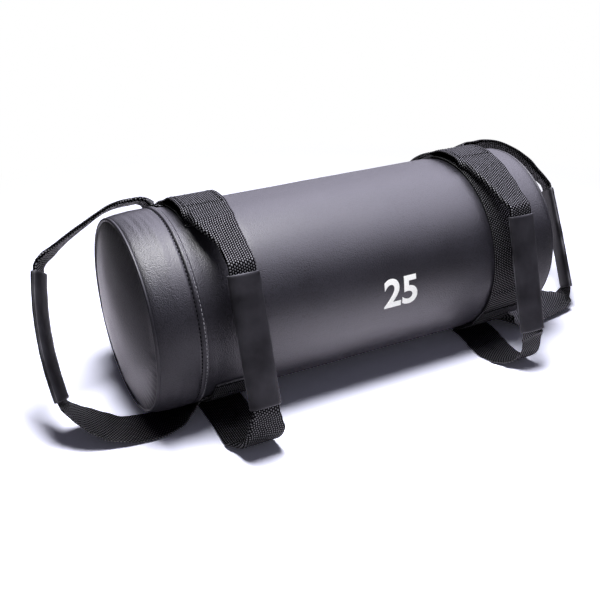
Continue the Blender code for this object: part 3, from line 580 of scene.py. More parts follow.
def makePiping(name, side):
    item = runTree(name, pipingTree, {"Ring Radius": piping["ring"], "Tube Radius": piping["tube"],
                                      "Wobble": piping["wobbleMm"] / 1000, "Segments": piping["segments"],
                                      "Sides": piping["sides"], "Seed": piping["seed"] + side,
                                      "Material": pipingVinyl})
    turn = Matrix.Rotation(math.radians(90), 4, "Y")
    item.data.transform(Matrix.Translation((midX + side * bag["halfLength"], axisY, axisZ)) @ turn)
    bm = bmesh.new()
    bm.from_mesh(item.data)
    bmesh.ops.remove_doubles(bm, verts=bm.verts, dist=piping["merge"])
    bmesh.ops.recalc_face_normals(bm, faces=bm.faces)
    low = axisZ - bag["radius"] + bag["sag"] - piping["tube"]
    for vertex in bm.verts:
        vertex.co.z = max(vertex.co.z, low + piping["flatShare"] * (vertex.co.z - low))
    bm.to_mesh(item.data)
    bm.free()
    return item


shellPanel = makePanel()
lidBand = makeLid()
leftCap = makeCap("leftEndCap", -1)
rightCap = makeCap("rightEndCap", 1)
leftPiping = makePiping("leftEndPiping", -1)
rightPiping = makePiping("rightEndPiping", 1)
for piece, node, slot in ((shellPanel, "shell_panel", "shell_vinyl"), (lidBand, "lid_band", "lid_vinyl"),
                          (leftCap, "left_end_cap", "cap_vinyl"), (rightCap, "right_end_cap", "cap_vinyl"),
                          (leftPiping, "left_end_piping", "piping_vinyl"),
                          (rightPiping, "right_end_piping", "piping_vinyl")):
    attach(piece, "bag")
    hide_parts(node)
print("shell made")


# Webbing: 50 mm wide and 1.8 mm thick, in girth straps and handles
webbing = {"width": 0.050, "thick": 0.0018, "step": 0.0021, "edge": 0.0010, "tightBend": 0.0010,
           "looseBend": 0.0030, "leastFlap": 0.0060, "gripFold": 0.9, "spacing": 0.0032,
           "samples": 500, "lidSpare": 0.0045,
           "edgePlaces": (0.0, 0.00012, 0.0004, 0.0009, 0.0016), "steps": (11, 8, 7)}
webbingWeave = makeWebbingMaterial("wovenPolyesterWebbing", webbingFinish, webbing["width"])
straps = {"left": {"x": -0.156, "start": 18.0, "end": -241.0}, "right": {"x": 0.180, "start": 0.0, "end": -360.0},
          "sewing": 119.0, "overlap": 18.0, "seatEase": 4.0, "seatSpare": 0.35, "stationDegrees": 1.5,
          "wander": 0.0004, "wanderDegrees": 25.0, "hemDegrees": 3.0, "lapSpare": 0.3,
          "floorGap": 0.0002}
seatRadius = bag["radius"] + bag["gap"] + webbing["thick"] / 2
webAngle = math.asin(webbing["width"] / 2 / seatRadius)
flatAngle = math.acos((bag["radius"] - bag["sag"]) / bag["radius"])
seatAngle = flatAngle + webAngle + math.radians(straps["seatEase"] + straps["seatSpare"])


# The middle line of a section, from its free selvedge round the fold to the other: a list of
# (place across the cloth, across, up, turn). A flap as wide as the fold's share is turned under.
def foldedLine(share):
    width, least = webbing["width"], webbing["leastFlap"]
    flap = max(width * share / 2, least)
    angle = math.pi * ease(min(width * share / 2 / least, 1.0))
    radius = webbing["tightBend"] + (webbing["looseBend"] - webbing["tightBend"]) * (1 - share)
    bend = math.pi * radius
    start = width - flap - bend / 2
    edge = list(webbing["edgePlaces"])
    before, through, after = webbing["steps"]
    places = edge + [edge[-1] + (start - edge[-1]) * step / before for step in range(1, before + 1)]
    places += [start + bend * step / through for step in range(1, through + 1)]
    rest = width - edge[-1] - places[-1]
    places += [places[-1] + rest * step / after for step in range(1, after + 1)]
    places += [width - place for place in reversed(edge[:-1])]
    line = []
    for place in places:
        into = min(max(place - start, 0.0), bend)
        turn = angle * into / bend
        if angle > 1e-4:
            across = -min(place, start) - bend / angle * math.sin(turn)
            up = -bend / angle * (1 - math.cos(turn))
        else:
            across, up = -min(place, start) - into, 0.0
        beyond = max(place - start - bend, 0.0)
        line.append((place - width / 2, across - beyond * math.cos(turn), up - beyond * math.sin(turn), turn))
    return line, radius * (1 - math.cos(angle)) / 2


# One webbing section as a closed loop of (across, up, v): the face, the edge, the back, the edge.
# Where it is gathered, the webbing is as narrow as when folded, but lies in one layer.
def webSection(fold, side, gather=0.0):
    share = min(max(fold, 0.0), 1.0)
    line, lift = foldedLine(share)
    offset = webbing["width"] / 2 * (1 - share / 2)
    face, back = [], []
    for v, across, up, turn in line:
        rim = min((webbing["width"] / 2 - abs(v)) / webbing["edge"], 1.0)
        half = webbing["thick"] / 2 * math.sqrt(max(1 - (1 - rim) ** 2, 0.0))
        turn, flat = turn * (1 - gather), -v * (1 - share / 2)
        normal = (-math.sin(turn), math.cos(turn))
        centre = ((across + offset) * (1 - gather) + flat * gather, (up + lift) * (1 - gather))
        face.append((side * (centre[0] + normal[0] * half), centre[1] + normal[1] * half, v))
        back.append((side * (centre[0] - normal[0] * half), centre[1] - normal[1] * half, v))
    return face + list(reversed(back[1:-1]))


# Skins a row of closed loops. Each loop is a list of points, with its own list of places across
# the cloth; along is its place in metres. A cut end has the colour of the selvedge.
def skinLoops(name, loops, vs, alongs, closed, material, sharp=50):
    size = len(loops[0])
    points = [point for loop in loops for point in loop]
    faces, uvs = [], []
    count = len(loops)
    for index in range(count if closed else count - 1):
        after = (index + 1) % count
        uEnd = alongs[index + 1] if index + 1 < len(alongs) else alongs[index]
        for step in range(size):
            beyond = (step + 1) % size
            faces.append((index * size + step, index * size + beyond, after * size + beyond, after * size + step))
            uvs.append(((alongs[index], vs[index][step]), (alongs[index], vs[index][beyond]),
                        (uEnd, vs[after][beyond]), (uEnd, vs[after][step])))
    if not closed:
        for row, turned in ((0, True), (count - 1, False)):
            half = size // 2
            for step in range(half):
                one, two = step, (step + 1) % size
                three, four = (size - step - 1) % size, (size - step) % size
                corners = [one, two, three] if step == 0 else [one, two, three, four]
                if step == half - 1:
                    corners = [one, two, four]
                if turned:
                    corners.reverse()
                faces.append(tuple(row * size + corner for corner in corners))
                uvs.append(((alongs[row], vs[row][0]),) * len(corners))
    return finishMesh(name, points, faces, material, uvs, sharp)


# Lift of a girth strap over the end handles' webbing
def strapLift(angle):
    lift = 0.0
    for seat in (-seatAngle, math.pi - seatAngle):
        off = abs(math.remainder(angle - seat, 2 * math.pi)) - webAngle
        lift = max(lift, 1 - ease(off / math.radians(straps["seatEase"])))
    return lift * webbing["step"]


def makeStrap(name, settings):
    turn = settings["start"] - settings["end"]
    full = turn >= 360
    count = round(turn / straps["stationDegrees"])
    section = webSection(0.0, 1)
    flatInner = axisZ - (bag["radius"] + bag["gap"] - bag["sag"])
    level = axisZ - bag["radius"] - bag["gap"] + bag["sag"] - webbing["thick"]
    loops, alongs = [], []
    for step in range(count if full else count + 1):
        degrees = settings["start"] - turn * step / count
        angle = math.radians(degrees)
        middle = bag["radius"] + bag["gap"] + strapLift(angle) + webbing["thick"] / 2
        past = degrees % 360 - (straps["sewing"] - straps["overlap"])
        lapped = full and 0 < past < straps["overlap"] + straps["lapSpare"]
        extra = webbing["thick"] * ease(past / straps["hemDegrees"]) if lapped else 0.0
        wander = straps["wander"] * noise.noise(Vector((degrees / straps["wanderDegrees"], settings["x"] * 40, 2.0)))
        loop = []
        for across, up, v in section:
            point = onBag(settings["x"] + across + wander, angle, middle + up + (extra if up > 0 else 0.0))
            if math.cos(angle) < 0:
                low = straps["floorGap"] if up >= 0 else min(flatInner, max(level, straps["floorGap"]))
                point.z = max(point.z, low)
            loop.append(point)
        loops.append(loop)
        alongs.append(seatRadius * math.radians(settings["start"] - degrees))
    if full:
        alongs.append(seatRadius * 2 * math.pi)
    return skinLoops(name, loops, [[v for a, u, v in section]] * len(loops), alongs, full, webbingWeave)


leftStrap = makeStrap("leftGirthStrap", straps["left"])
rightStrap = makeStrap("rightGirthStrap", straps["right"])
for piece, node in ((leftStrap, "left_girth_strap"), (rightStrap, "right_girth_strap")):
    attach(piece, "bag")
    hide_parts(node)
print("girth straps made")


# Routes of the handles' webbing, as in the solids: keys with a place, a tilt, a twist, a fold, a
# hug, a sideways shift and a share of gathering, and a smooth curve through them
def curvePlace(places, times, span, time):
    p1, p2 = places[span], places[span + 1]
    t1, t2 = times[span], times[span + 1]
    p0 = places[span - 1] if span else p1 - (p2 - p1)
    t0 = times[span - 1] if span else t1 - (t2 - t1)
    ahead = span + 2 < len(places)
    p3 = places[span + 2] if ahead else p2 + (p2 - p1)
    t3 = times[span + 2] if ahead else t2 + (t2 - t1)
    a1 = p0.lerp(p1, (time - t0) / (t1 - t0))
    a2 = p1.lerp(p2, (time - t1) / (t2 - t1))
    a3 = p2.lerp(p3, (time - t2) / (t3 - t2))
    b1 = a1.lerp(a2, (time - t0) / (t2 - t0))
    b2 = a2.lerp(a3, (time - t1) / (t3 - t1))
    return b1.lerp(b2, (time - t1) / (t2 - t1))


def smoothRoute(keys, widthOf):
    samples = webbing["samples"]
    places = [Vector(key[0]) for key in keys]
    times = [0.0]
    for one, two in zip(places, places[1:]):
        times.append(times[-1] + math.sqrt((two - one).length))
    settings = [(*key[1:], 0.0, 0.0)[:6] for key in keys]
    route = []
    points, values = [], []
    for sample in range(samples + 1):
        time = times[-1] * sample / samples
        span = 0
        while span < len(keys) - 2 and times[span + 1] < time:
            span += 1
        blend = ease((time - times[span]) / (times[span + 1] - times[span]))
        points.append(curvePlace(places, times, span, time))
        values.append([one + (two - one) * blend for one, two in zip(settings[span], settings[span + 1])])
    length = 0.0
    for index, point in enumerate(points):
        before = points[max(index - 1, 0)]
        along = (points[min(index + 1, samples)] - before).normalized()
        length += (point - before).length
        tilt, twist, fold, hug, shift, gather = values[index]
        across = widthOf(tilt)
        across = (across - across.dot(along) * along).normalized()
        across = across * math.cos(twist) + along.cross(across) * math.sin(twist)
        route.append((length, point + across * shift, across, along.cross(across), fold, hug, gather))
    return route


def routeAt(route, place):
    low, high = 0, len(route) - 1
    while high - low > 1:
        middle = (low + high) // 2
        if route[middle][0] <= place:
            low = middle
        else:
            high = middle
    one, two = route[low], route[high]
    share = min(max((place - one[0]) / (two[0] - one[0]), 0.0), 1.0)
    point = one[1].lerp(two[1], share)
    across = one[2].lerp(two[2], share).normalized()
    outward = one[3].lerp(two[3], share).normalized()
    return point, across, outward, *[low + (high - low) * share for low, high in zip(one[4:], two[4:])]


# The least distance from the bag's axis at which webbing may lie
def seatLimit(x, overStrap):
    if abs(x) > bag["halfLength"]:
        return 0.0
    limit = seatRadius
    if lid["rampEnd"] - webbing["lidSpare"] < x < lid["edge"] + webbing["lidSpare"]:
        limit += lid["rise"]
    if overStrap:
        limit += webbing["thick"] + bag["gap"]
    return limit


def makeWeb(name, route, foldSide, overStrap):
    total = route[-1][0]
    count = round(total / webbing["spacing"])
    loops, alongs, vs = [], [], []
    for step in range(count + 1):
        place = total * step / count
        point, across, outward, fold, hug, gather = routeAt(route, place)
        section = webSection(fold, foldSide, gather)
        loop = []
        for a, b, v in section:
            spot = point + across * a + outward * (b - hug * a * a / (2 * bag["radius"]))
            arm = Vector((0, spot.y - axisY, spot.z - axisZ))
            short = seatLimit(spot.x - midX, overStrap) - webbing["thick"] / 2 - arm.length
            if short > 0:
                spot += arm.normalized() * short
            spot.z = max(spot.z, bag["floorClearance"])
            loop.append(spot)
        loops.append(loop)
        alongs.append(place)
        vs.append([v for a, b, v in section])
    return skinLoops(name, loops, vs, alongs, False, webbingWeave)


def frontPlace(x, drift, out, up):
    radius = bag["radius"]
    shift = drift * (radius - min(up, radius)) / (2 * radius)
    return Vector((midX + x + shift, axisY - out, axisZ + up))


def endPlace(side, out, up):
    return Vector((midX + side * (bag["halfLength"] + out), axisY + math.sin(seatAngle) * up,
                   axisZ + math.cos(seatAngle) * up))


def makeSleeve(name, placeOf, seed):
    length, bevel, count, wall = grip["length"], grip["bevel"], grip["rows"], 2 * grip["wall"]
    alongSize, sideSize, upSize = grip["softSizes"]
    rows = [(0.0, bevel), (bevel, 0.0)] + [(length * step / count, 0.0) for step in range(1, count)]
    rows += [(length - bevel, 0.0), (length, bevel)]
    outer = [(place, grip["width"] - 2 * cut, grip["height"] - 2 * cut) for place, cut in rows]
    inner = [(place, grip["width"] - wall + 2 * cut, grip["height"] - wall + 2 * cut)
             for place, cut in (rows[-1], rows[-2], rows[len(rows) // 2], rows[1], rows[0])]
    loops = []
    for index, (place, width, height) in enumerate(outer + inner):
        centre, across, outward = placeOf(place / length)
        loop = []
        for side, up in tubeOutline(width, height):
            soft = 0.0
            if index < len(outer):
                soft = grip["soft"] * noise.noise(Vector((place / alongSize, side / sideSize, up / upSize + seed)))
            loop.append(centre + across * (side + math.copysign(soft, side))
                        + outward * (up + math.copysign(soft, up)))
        loops.append(loop)
    alongs = [place for place, width, height in outer + inner] + [0.0]
    vs = outlineLengths(tubeOutline(grip["width"], grip["height"]))
    return skinLoops(name, loops, [vs] * len(loops), alongs, True, sleeveRubber, 60)


# Which solids each handle's two pieces stand for: the webbing for the roots and the loop, the sleeve for the grip, on
# a body of its own
def fitHandle(label, kind, web, sleeve):
    name = label + "_" + kind
    node = name + "_handle"
    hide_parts(node + "_root_upper", node + "_loop", node + "_root_lower")
    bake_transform(web)
    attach(sleeve, name + "_sleeve")
    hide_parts(name + "_grip")


# Side handles. upper and lower hold (out, up, fold, shiftMm), in bag radii from the bag's axis.
sideHandles = {
    "left": {"x": -0.156, "out": 0.1366, "up": 0.0187, "lean": 21.3, "drift": -0.003, "floorDrift": -0.0045,
             "gather": 0.0,
             "upper": [(-0.14, 1.092, 0.0, 0.0), (0.15, 1.104, 0.0, 0.0), (0.40, 1.052, 0.16, -1.5),
                       (0.56, 1.013, 0.44, -1.0), (0.66, 0.980, 0.66, 0.7), (0.77, 0.943, 0.82, 2.0),
                       (0.89, 0.900, 0.85, 1.0)],
             "lower": [(1.540, -0.55, 0.60, 1.0), (1.515, -0.70, 0.36, 2.0), (1.425, -0.84, 0.22, 0.5),
                       (1.290, -0.95, 0.10, -2.0)],
             "floorFolds": ((0.0, -2.0), (0.0, -1.0), (0.0, 0.0), (0.0, 0.0), (0.0, 0.0))},
    "right": {"x": 0.180, "out": 0.1315, "up": 0.0108, "lean": 20.5, "drift": -0.006, "floorDrift": -0.001,
              "gather": 1.0,
              "upper": [(-0.14, 1.080, 0.0, 0.0), (0.14, 1.090, 0.0, 0.0), (0.40, 1.015, 0.18, -0.7),
                        (0.64, 0.930, 0.48, 0.0), (0.86, 0.830, 0.74, 0.3)],
              "lower": [(1.460, -0.61, 0.95, 0.0), (1.462, -0.73, 0.95, 0.0), (1.415, -0.84, 0.82, -1.0),
                        (1.325, -0.925, 0.58, -4.5)],
              "floorFolds": ((0.30, -8.0), (0.08, -9.0), (0.0, -6.0), (0.0, -2.0), (0.0, 0.0))},
    "floorRun": [(1.17, 0.008), (1.00, 0.0), (0.82, 0.0), (0.66, 0.002), (0.52, 0.004)], "rootEnd": 0.40,
    "rootBack": 12.0, "rootFront": 19.0, "rootShares": (0.0, 0.35, 0.7, 1.0), "bendStart": 0.086, "bendEnd": 0.103}


def makeSideHandle(label, seed):
    own = sideHandles[label]
    radius = bag["radius"]
    lean = math.radians(own["lean"])
    middle = frontPlace(own["x"], own["drift"], own["out"], own["up"])
    below = frontPlace(own["x"], own["drift"], own["out"] + math.sin(lean) * radius,
                       own["up"] - math.cos(lean) * radius)
    down = (below - middle).normalized()
    top = middle - down * (grip["length"] / 2)
    strapFace = radius + bag["gap"] + webbing["thick"] + webbing["step"]
    rootRadius = strapFace + bag["gap"] + webbing["thick"] / 2
    back = seatAngle + math.radians(sideHandles["rootBack"])
    front = math.radians(sideHandles["rootFront"])
    keys = []
    for share in sideHandles["rootShares"]:
        angle = -back + (back - front) * share
        keys.append((frontPlace(own["x"], own["drift"], rootRadius * math.sin(angle),
                                rootRadius * math.cos(angle)), 0, 0, 0, 0))
    for out, up, fold, shiftMm in own["upper"]:
        keys.append((frontPlace(own["x"], own["drift"], out * radius, up * radius), 0, 0, fold, 0, shiftMm / 1000))
    for length in runLengths(grip["bend"]):
        keys.append((top + down * length, 0, 0, webbing["gripFold"], 0, 0, own["gather"] * inGrip(length)))
    for out, up, fold, shiftMm in own["lower"]:
        keys.append((frontPlace(own["x"], own["floorDrift"], out * radius, up * radius), 0, 0, fold, 0,
                     shiftMm / 1000, own["gather"]))
    floorMid = bag["floorClearance"] + webbing["thick"] / 2
    for (out, up), (fold, shiftMm) in zip(sideHandles["floorRun"], own["floorFolds"]):
        keys.append((frontPlace(own["x"], own["floorDrift"], out * radius, floorMid + up * radius - axisZ),
                     0, 0, fold, 0, shiftMm / 1000, own["gather"]))
    endOut = sideHandles["rootEnd"] * radius
    endUp = -math.sqrt(strapFace ** 2 - endOut ** 2) - bag["gap"] - webbing["thick"] / 2
    keys.append((frontPlace(own["x"], own["floorDrift"], endOut, endUp), 0, 0, 0, 0))
    route = smoothRoute(keys, lambda tilt: Vector((1, 0, 0)))
    web = makeWeb(label + "SideWebbing", route, 1, True)
    across = Vector((1, 0, 0))
    across = (across - across.dot(down) * down).normalized()
    outward = down.cross(across)
    sleeve = makeSleeve(label + "SideSleeve", lambda share: (top + down * grip["length"] * share, across, outward),
                        seed)
    fitHandle(label, "side", web, sleeve)
    return route


# End handles. upper holds (out, up, twist share, fold), in bag radii from the bag's end and axis, and
# lower (out, up, front, tilt share, twist share, fold), in bag radii from the end and the floor.
endHandles = {
    "left": {"side": -1, "strap": 0.156, "out": 0.0838, "up": -0.0026, "lean": -3.7, "twist": 27.0, "bow": 0.006,
             "upper": [(-0.45, 1.095, 0.0, 0.70), (-0.29, 1.115, 0.0, 0.95), (-0.11, 1.098, 0.0, 1.0),
                       (0.03, 1.045, 0.0, 1.0), (0.18, 0.972, 0.1, 1.0), (0.33, 0.898, 0.2, 1.0),
                       (0.46, 0.824, 0.35, 1.0), (0.55, 0.768, 0.55, 1.0), (0.633, 0.718, 0.75, 0.95)],
             "lower": [(0.755, 0.345, 0.70, 0.6, 0.6, 0.6), (0.67, 0.262, 0.76, 0.1, 0.2, 0.25),
                       (0.55, 0.172, 0.84, -0.2, 0.0, 0.05), (0.42, 0.092, 0.92, -0.2, 0.0, 0.0),
                       (0.27, 0.032, 0.99, 0.0, 0.0, 0.0), (0.10, 0.006, 1.03, 0.0, 0.0, 0.0),
                       (-0.06, 0.004, 1.05, 0.1, 0.0, 0.0), (-0.23, 0.020, 1.04, 0.3, 0.0, 0.0),
                       (-0.38, 0.070, 1.0, 0.7, 0.0, 0.0)]},
    "right": {"side": 1, "strap": 0.180, "out": 0.0930, "up": -0.0286, "lean": 4.6, "twist": 22.0, "bow": 0.001,
              "upper": [(-0.27, 1.060, 0.0, 0.50), (-0.10, 1.070, -0.1, 0.85), (0.08, 1.065, -0.3, 0.95),
                        (0.28, 1.012, -0.4, 0.95), (0.48, 0.905, -0.3, 0.95), (0.66, 0.765, 0.1, 0.9),
                        (0.80, 0.600, 0.6, 0.9)],
              "lower": [(0.82, 0.130, 0.88, 0.6, 0.6, 0.6), (0.76, 0.100, 0.87, 0.1, 0.2, 0.3),
                        (0.64, 0.085, 0.87, -0.2, 0.0, 0.1), (0.45, 0.065, 0.90, -0.1, 0.0, 0.0),
                        (0.22, 0.035, 0.96, 0.0, 0.0, 0.0), (0.0, 0.020, 1.0, 0.1, 0.0, 0.0),
                        (-0.15, 0.034, 1.0, 0.3, 0.0, 0.0), (-0.27, 0.080, 1.0, 0.7, 0.0, 0.0)]},
    "seatShares": (0.0, 0.5, 0.9), "inset": 0.005, "overrun": 0.005, "hug": 0.5, "bendStart": 0.0321,
    "bendEnd": 0.0461, "above": 0.0006}


def makeEndHandle(label, seed):
    own = endHandles[label]
    side, radius = own["side"], bag["radius"]
    lean, twist = math.radians(own["lean"]), math.radians(own["twist"])
    planeUp = Vector((0, math.sin(seatAngle), math.cos(seatAngle)))
    planeOut = Vector((side, 0, 0))
    down = -planeUp * math.cos(lean) - planeOut * math.sin(lean)
    away = planeOut * math.cos(lean) - planeUp * math.sin(lean)
    arcRadius = (grip["length"] ** 2 / 4 + own["bow"] ** 2) / (2 * own["bow"])
    centre = endPlace(side, own["out"], own["up"]) - away * arcRadius
    halfTurn = math.asin(grip["length"] / 2 / arcRadius)

    def widthOf(tilt):
        return side * Vector((0, math.cos(tilt), -math.sin(tilt)))

    def arcFrame(share):
        turn = halfTurn * (2 * share - 1)
        outward = away * math.cos(turn) + down * math.sin(turn)
        across = widthOf(seatAngle)
        turned = across * math.cos(twist) + outward * math.sin(twist)
        return centre + outward * arcRadius, turned, outward * math.cos(twist) - across * math.sin(twist)

    innerEdge = own["strap"] - webbing["width"] / 2 + endHandles["inset"] - bag["halfLength"]
    outerEdge = own["strap"] + webbing["width"] / 2 - bag["halfLength"]
    seats = [innerEdge + (outerEdge - innerEdge) * share for share in endHandles["seatShares"]]
    seats.append(outerEdge + endHandles["overrun"])
    keys = [(endPlace(side, seat, seatRadius), seatAngle, 0, 0, 1) for seat in seats]
    for index, (out, up, twistShare, fold) in enumerate(own["upper"]):
        keys.append((endPlace(side, out * radius, up * radius), seatAngle, twist * twistShare, fold,
                     0 if index else endHandles["hug"]))
    for length in runLengths(endHandles["above"]):
        keys.append((arcFrame(length / grip["length"])[0], seatAngle, twist, webbing["gripFold"], 0, 0,
                     inGrip(length)))
    seatFront = math.sin(seatAngle) * seatRadius
    floorMid = bag["floorClearance"] + webbing["thick"] / 2
    for out, up, front, tilt, twistShare, fold in own["lower"]:
        place = Vector((midX + side * (bag["halfLength"] + out * radius), axisY - seatFront * front,
                        floorMid + up * radius))
        keys.append((place, seatAngle * tilt, twist * twistShare, fold, 0, 0, 1.0))
    keys += [(endPlace(side, seat, -seatRadius), seatAngle, 0, 0, 1) for seat in reversed(seats)]
    route = smoothRoute(keys, widthOf)
    web = makeWeb(label + "EndWebbing", route, -1, False)
    sleeve = makeSleeve(label + "EndSleeve", arcFrame, seed)
    fitHandle(label, "end", web, sleeve)


sideRoutes = {}
for number, label in enumerate(("left", "right")):
    sideRoutes[label] = makeSideHandle(label, 2.0 + number)
    makeEndHandle(label, 6.0 + number)
print("handles made")


# Stitches, set along seam lines by Geometry Nodes: a short rounded float of thread at each pitch
stitch = {"pitchMm": 4.4, "lengthMm": 3.3, "threadMm": 0.75, "seed": 11}


def makeStitchTree():
    tree, given = newTree("stitchRow", ("Pitch", "Stitch Length", "Thread Radius"), ("Seed",))
    curve = addNode(tree, "GeometryNodeMeshToCurve", {"Mesh": given["Geometry"]})
    points = addNode(tree, "GeometryNodeCurveToPoints", {"Curve": curve, "Length": given["Pitch"]}, mode="LENGTH")
    turn = addNode(tree, "FunctionNodeAlignRotationToVector", {"Vector": points.outputs["Tangent"]}, axis="X")
    ball = addNode(tree, "GeometryNodeMeshUVSphere", {"Segments": 7, "Rings": 5, "Radius": 1.0})
    half = addNode(tree, "ShaderNodeMath", {0: given["Stitch Length"], 1: 0.5}, operation="MULTIPLY")
    size = addNode(tree, "ShaderNodeCombineXYZ", {"X": half, "Y": given["Thread Radius"],
                                                  "Z": given["Thread Radius"]})
    shaped = addNode(tree, "GeometryNodeTransform", {"Geometry": ball, "Scale": size})
    vary = addNode(tree, "FunctionNodeRandomValue", {2: 0.88, 3: 1.08, "Seed": given["Seed"]}, data_type="FLOAT")
    placed = addNode(tree, "GeometryNodeInstanceOnPoints", {"Points": points, "Instance": shaped, "Rotation": turn,
                                                            "Scale": vary})
    return endTree(tree, placed, given["Material"])


stitchTree = makeStitchTree()


def makeStitches(name, rows, material, settings=stitch):
    points, edges = [], []
    for row in rows:
        first = len(points)
        points += [tuple(point) for point in row]
        edges += [(first + step, first + step + 1) for step in range(len(row) - 1)]
    mesh = bpy.data.meshes.new(name + "Rows")
    mesh.from_pydata(points, edges, [])
    item = runTree(name, stitchTree, {"Pitch": settings["pitchMm"] / 1000,
                                      "Stitch Length": settings["lengthMm"] / 1000,
                                      "Thread Radius": settings["threadMm"] / 2000, "Seed": settings["seed"],
                                      "Material": material}, mesh)
    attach(item, "bag")


def girthRow(x, above):
    row = []
    for step in range(lid["segments"] + 1):
        angle = 2 * math.pi * step / lid["segments"]
        level = lidRadius(x) + lidRelief(x, angle, 0)[1] + above
        row.append(layerPoint(x, angle, level, bag["radius"] + lid["rise"]))
    return row


# The edge row's light grey thread is a painted glint; the inner row's thread is black
for name, row, above, threadMm, thread in (("lapStitchesInner", "rowOne", 0.0002, 1.2, threadBlack),
                                           ("lapStitchesEdge", "rowTwo", 0.0001, 0.7, threadGlint)):
    makeStitches(name, [girthRow(lid[row], above)], thread, {**stitch, "threadMm": threadMm})


# The sewn hem at the end of each girth strap
hem = {"left": (119.9, 1), "right": (118.0, 2), "inset": 0.001, "above": 0.0004, "count": 16}
hemStitch = {**stitch, "pitchMm": 3.0, "lengthMm": 3.6, "threadMm": 1.6}


def hemRow(label):
    degrees, layers = hem[label]
    angle, count = math.radians(degrees), hem["count"]
    level = bag["radius"] + bag["gap"] + webbing["thick"] * layers + strapLift(angle) + hem["above"]
    half = webbing["width"] / 2 - hem["inset"]
    return [onBag(straps[label]["x"] + half * (2 * step / count - 1), angle, level) for step in range(count + 1)]


# Box stitches where a side handle is sewn to its girth strap
def webSpot(route, place, a, above):
    point, across, outward, fold, hug, gather = routeAt(route, place)
    return point + across * a + outward * (webbing["thick"] / 2 + above - hug * a * a / (2 * bag["radius"]))


boxes = {"first": (0.005, 0.050), "second": (0.058, 0.104), "inset": 0.005, "steps": 12, "above": 0.0001,
         "threadMm": 0.9}


def boxRows(route, start, end):
    half = webbing["width"] / 2 - boxes["inset"]
    corners = [(start, -half), (end, -half), (end, half), (start, half)]
    rows = []
    for one, two in ((0, 1), (1, 2), (2, 3), (3, 0), (0, 2), (3, 1)):
        first, last = Vector(corners[one]), Vector(corners[two])
        spots = [first.lerp(last, step / boxes["steps"]) for step in range(boxes["steps"] + 1)]
        rows.append([webSpot(route, spot.x, spot.y, boxes["above"]) for spot in spots])
    return rows


for label, route in sideRoutes.items():
    makeStitches(label + "StrapHem", [hemRow(label)], threadBlack, hemStitch)
    rows = boxRows(route, *boxes["first"]) + boxRows(route, *boxes["second"])[:4]
    makeStitches(label + "SideRootStitches", rows, threadBlack, {**stitch, "threadMm": boxes["threadMm"]})
print("stitches made")


# Printed number on the panel
printed = {"text": "25", "heightMm": 33.0, "centreX": 0.030, "centreDegrees": 84.0, "filmMm": 0.08, "bold": 0.025,
           "reaches": (0.045, 0.020), "cutMm": 2.0, "merge": 0.0001, "curveSteps": 8}


def makePrint():
    curve = bpy.data.curves.new("printedNumber", "FONT")
    curve.body = printed["text"]
    curve.align_x = "CENTER"
    curve.align_y = "CENTER"
    curve.resolution_u = printed["curveSteps"]
    curve.offset = printed["bold"]
    carrier = addObject("printedNumberText", curve)
    depsgraph = bpy.context.evaluated_depsgraph_get()
    mesh = bpy.data.meshes.new_from_object(carrier.evaluated_get(depsgraph), depsgraph=depsgraph)
    bpy.data.objects.remove(carrier, do_unlink=True)
    bm = bmesh.new()
    bm.from_mesh(mesh)
    bmesh.ops.remove_doubles(bm, verts=bm.verts, dist=printed["merge"])
    lows = [min(v.co[i] for v in bm.verts) for i in (0, 1)]
    highs = [max(v.co[i] for v in bm.verts) for i in (0, 1)]
    scale = printed["heightMm"] / 1000 / (highs[1] - lows[1])
    for vertex in bm.verts:
        vertex.co.x = (vertex.co.x - (lows[0] + highs[0]) / 2) * scale
        vertex.co.y = (vertex.co.y - (lows[1] + highs[1]) / 2) * scale
    for normal, reach in zip((Vector((1, 0, 0)), Vector((0, 1, 0))), printed["reaches"]):
        place = -reach
        while place < reach:
            bmesh.ops.bisect_plane(bm, geom=bm.verts[:] + bm.edges[:] + bm.faces[:], plane_co=normal * place,
                                   plane_no=normal)
            place += printed["cutMm"] / 1000
    for vertex in bm.verts:
        x = printed["centreX"] + vertex.co.x
        angle = math.radians(printed["centreDegrees"]) - vertex.co.y / bag["radius"]
        level = bag["radius"] + panelRelief(x, angle, 0)[1] + printed["filmMm"] / 1000
        vertex.co = onBag(x, angle, level)
    bmesh.ops.recalc_face_normals(bm, faces=bm.faces)
    bm.to_mesh(mesh)
    bm.free()
    mesh.name = "printedNumber"
    item = addObject("printedNumber", mesh)
    mesh.materials.clear()
    mesh.materials.append(printInk)
    outward = sum(-face.normal.y for face in mesh.polygons)
    if outward < 0:
        mesh.flip_normals()
    solid = item.modifiers.new("film", "SOLIDIFY")
    solid.thickness = printed["filmMm"] / 2000
    solid.offset = -1.0
    depsgraph = bpy.context.evaluated_depsgraph_get()
    final = bpy.data.meshes.new_from_object(item.evaluated_get(depsgraph), depsgraph=depsgraph)
    item.modifiers.clear()
    item.data = final
    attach(item, "bag")


makePrint()
print("print made")


# The sealed insides keep their solids, with the finish of the real filling
inside = {
    "foam_sleeve": makeGrained("polyurethaneFoamCut", "#D9D6CB", "#EEEBE2", 0.95, 1.6, 0.4),
    "sand_sack": makeGrained("blownPolyethyleneFilm", "#DDE0E3", "#F2F4F6", 0.32, 14.0, 0.3,
                             Transmission_Weight=0.35),
    "sack_tie": makeGrained("mouldedNylonTie", "#EDEDE8", "#F8F8F4", 0.4, 0.8, 0.03),
    "sand_fill": makeGrained("washedQuartzSand", "#A8946C", "#DCCBA4", 0.95, 0.9, 0.5)}
inside["left_end_foam"] = inside["right_end_foam"] = inside["foam_sleeve"]
for node, material in inside.items():
    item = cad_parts[node]
    item.data.materials.clear()
    item.data.materials.append(material)
print("insides finished")


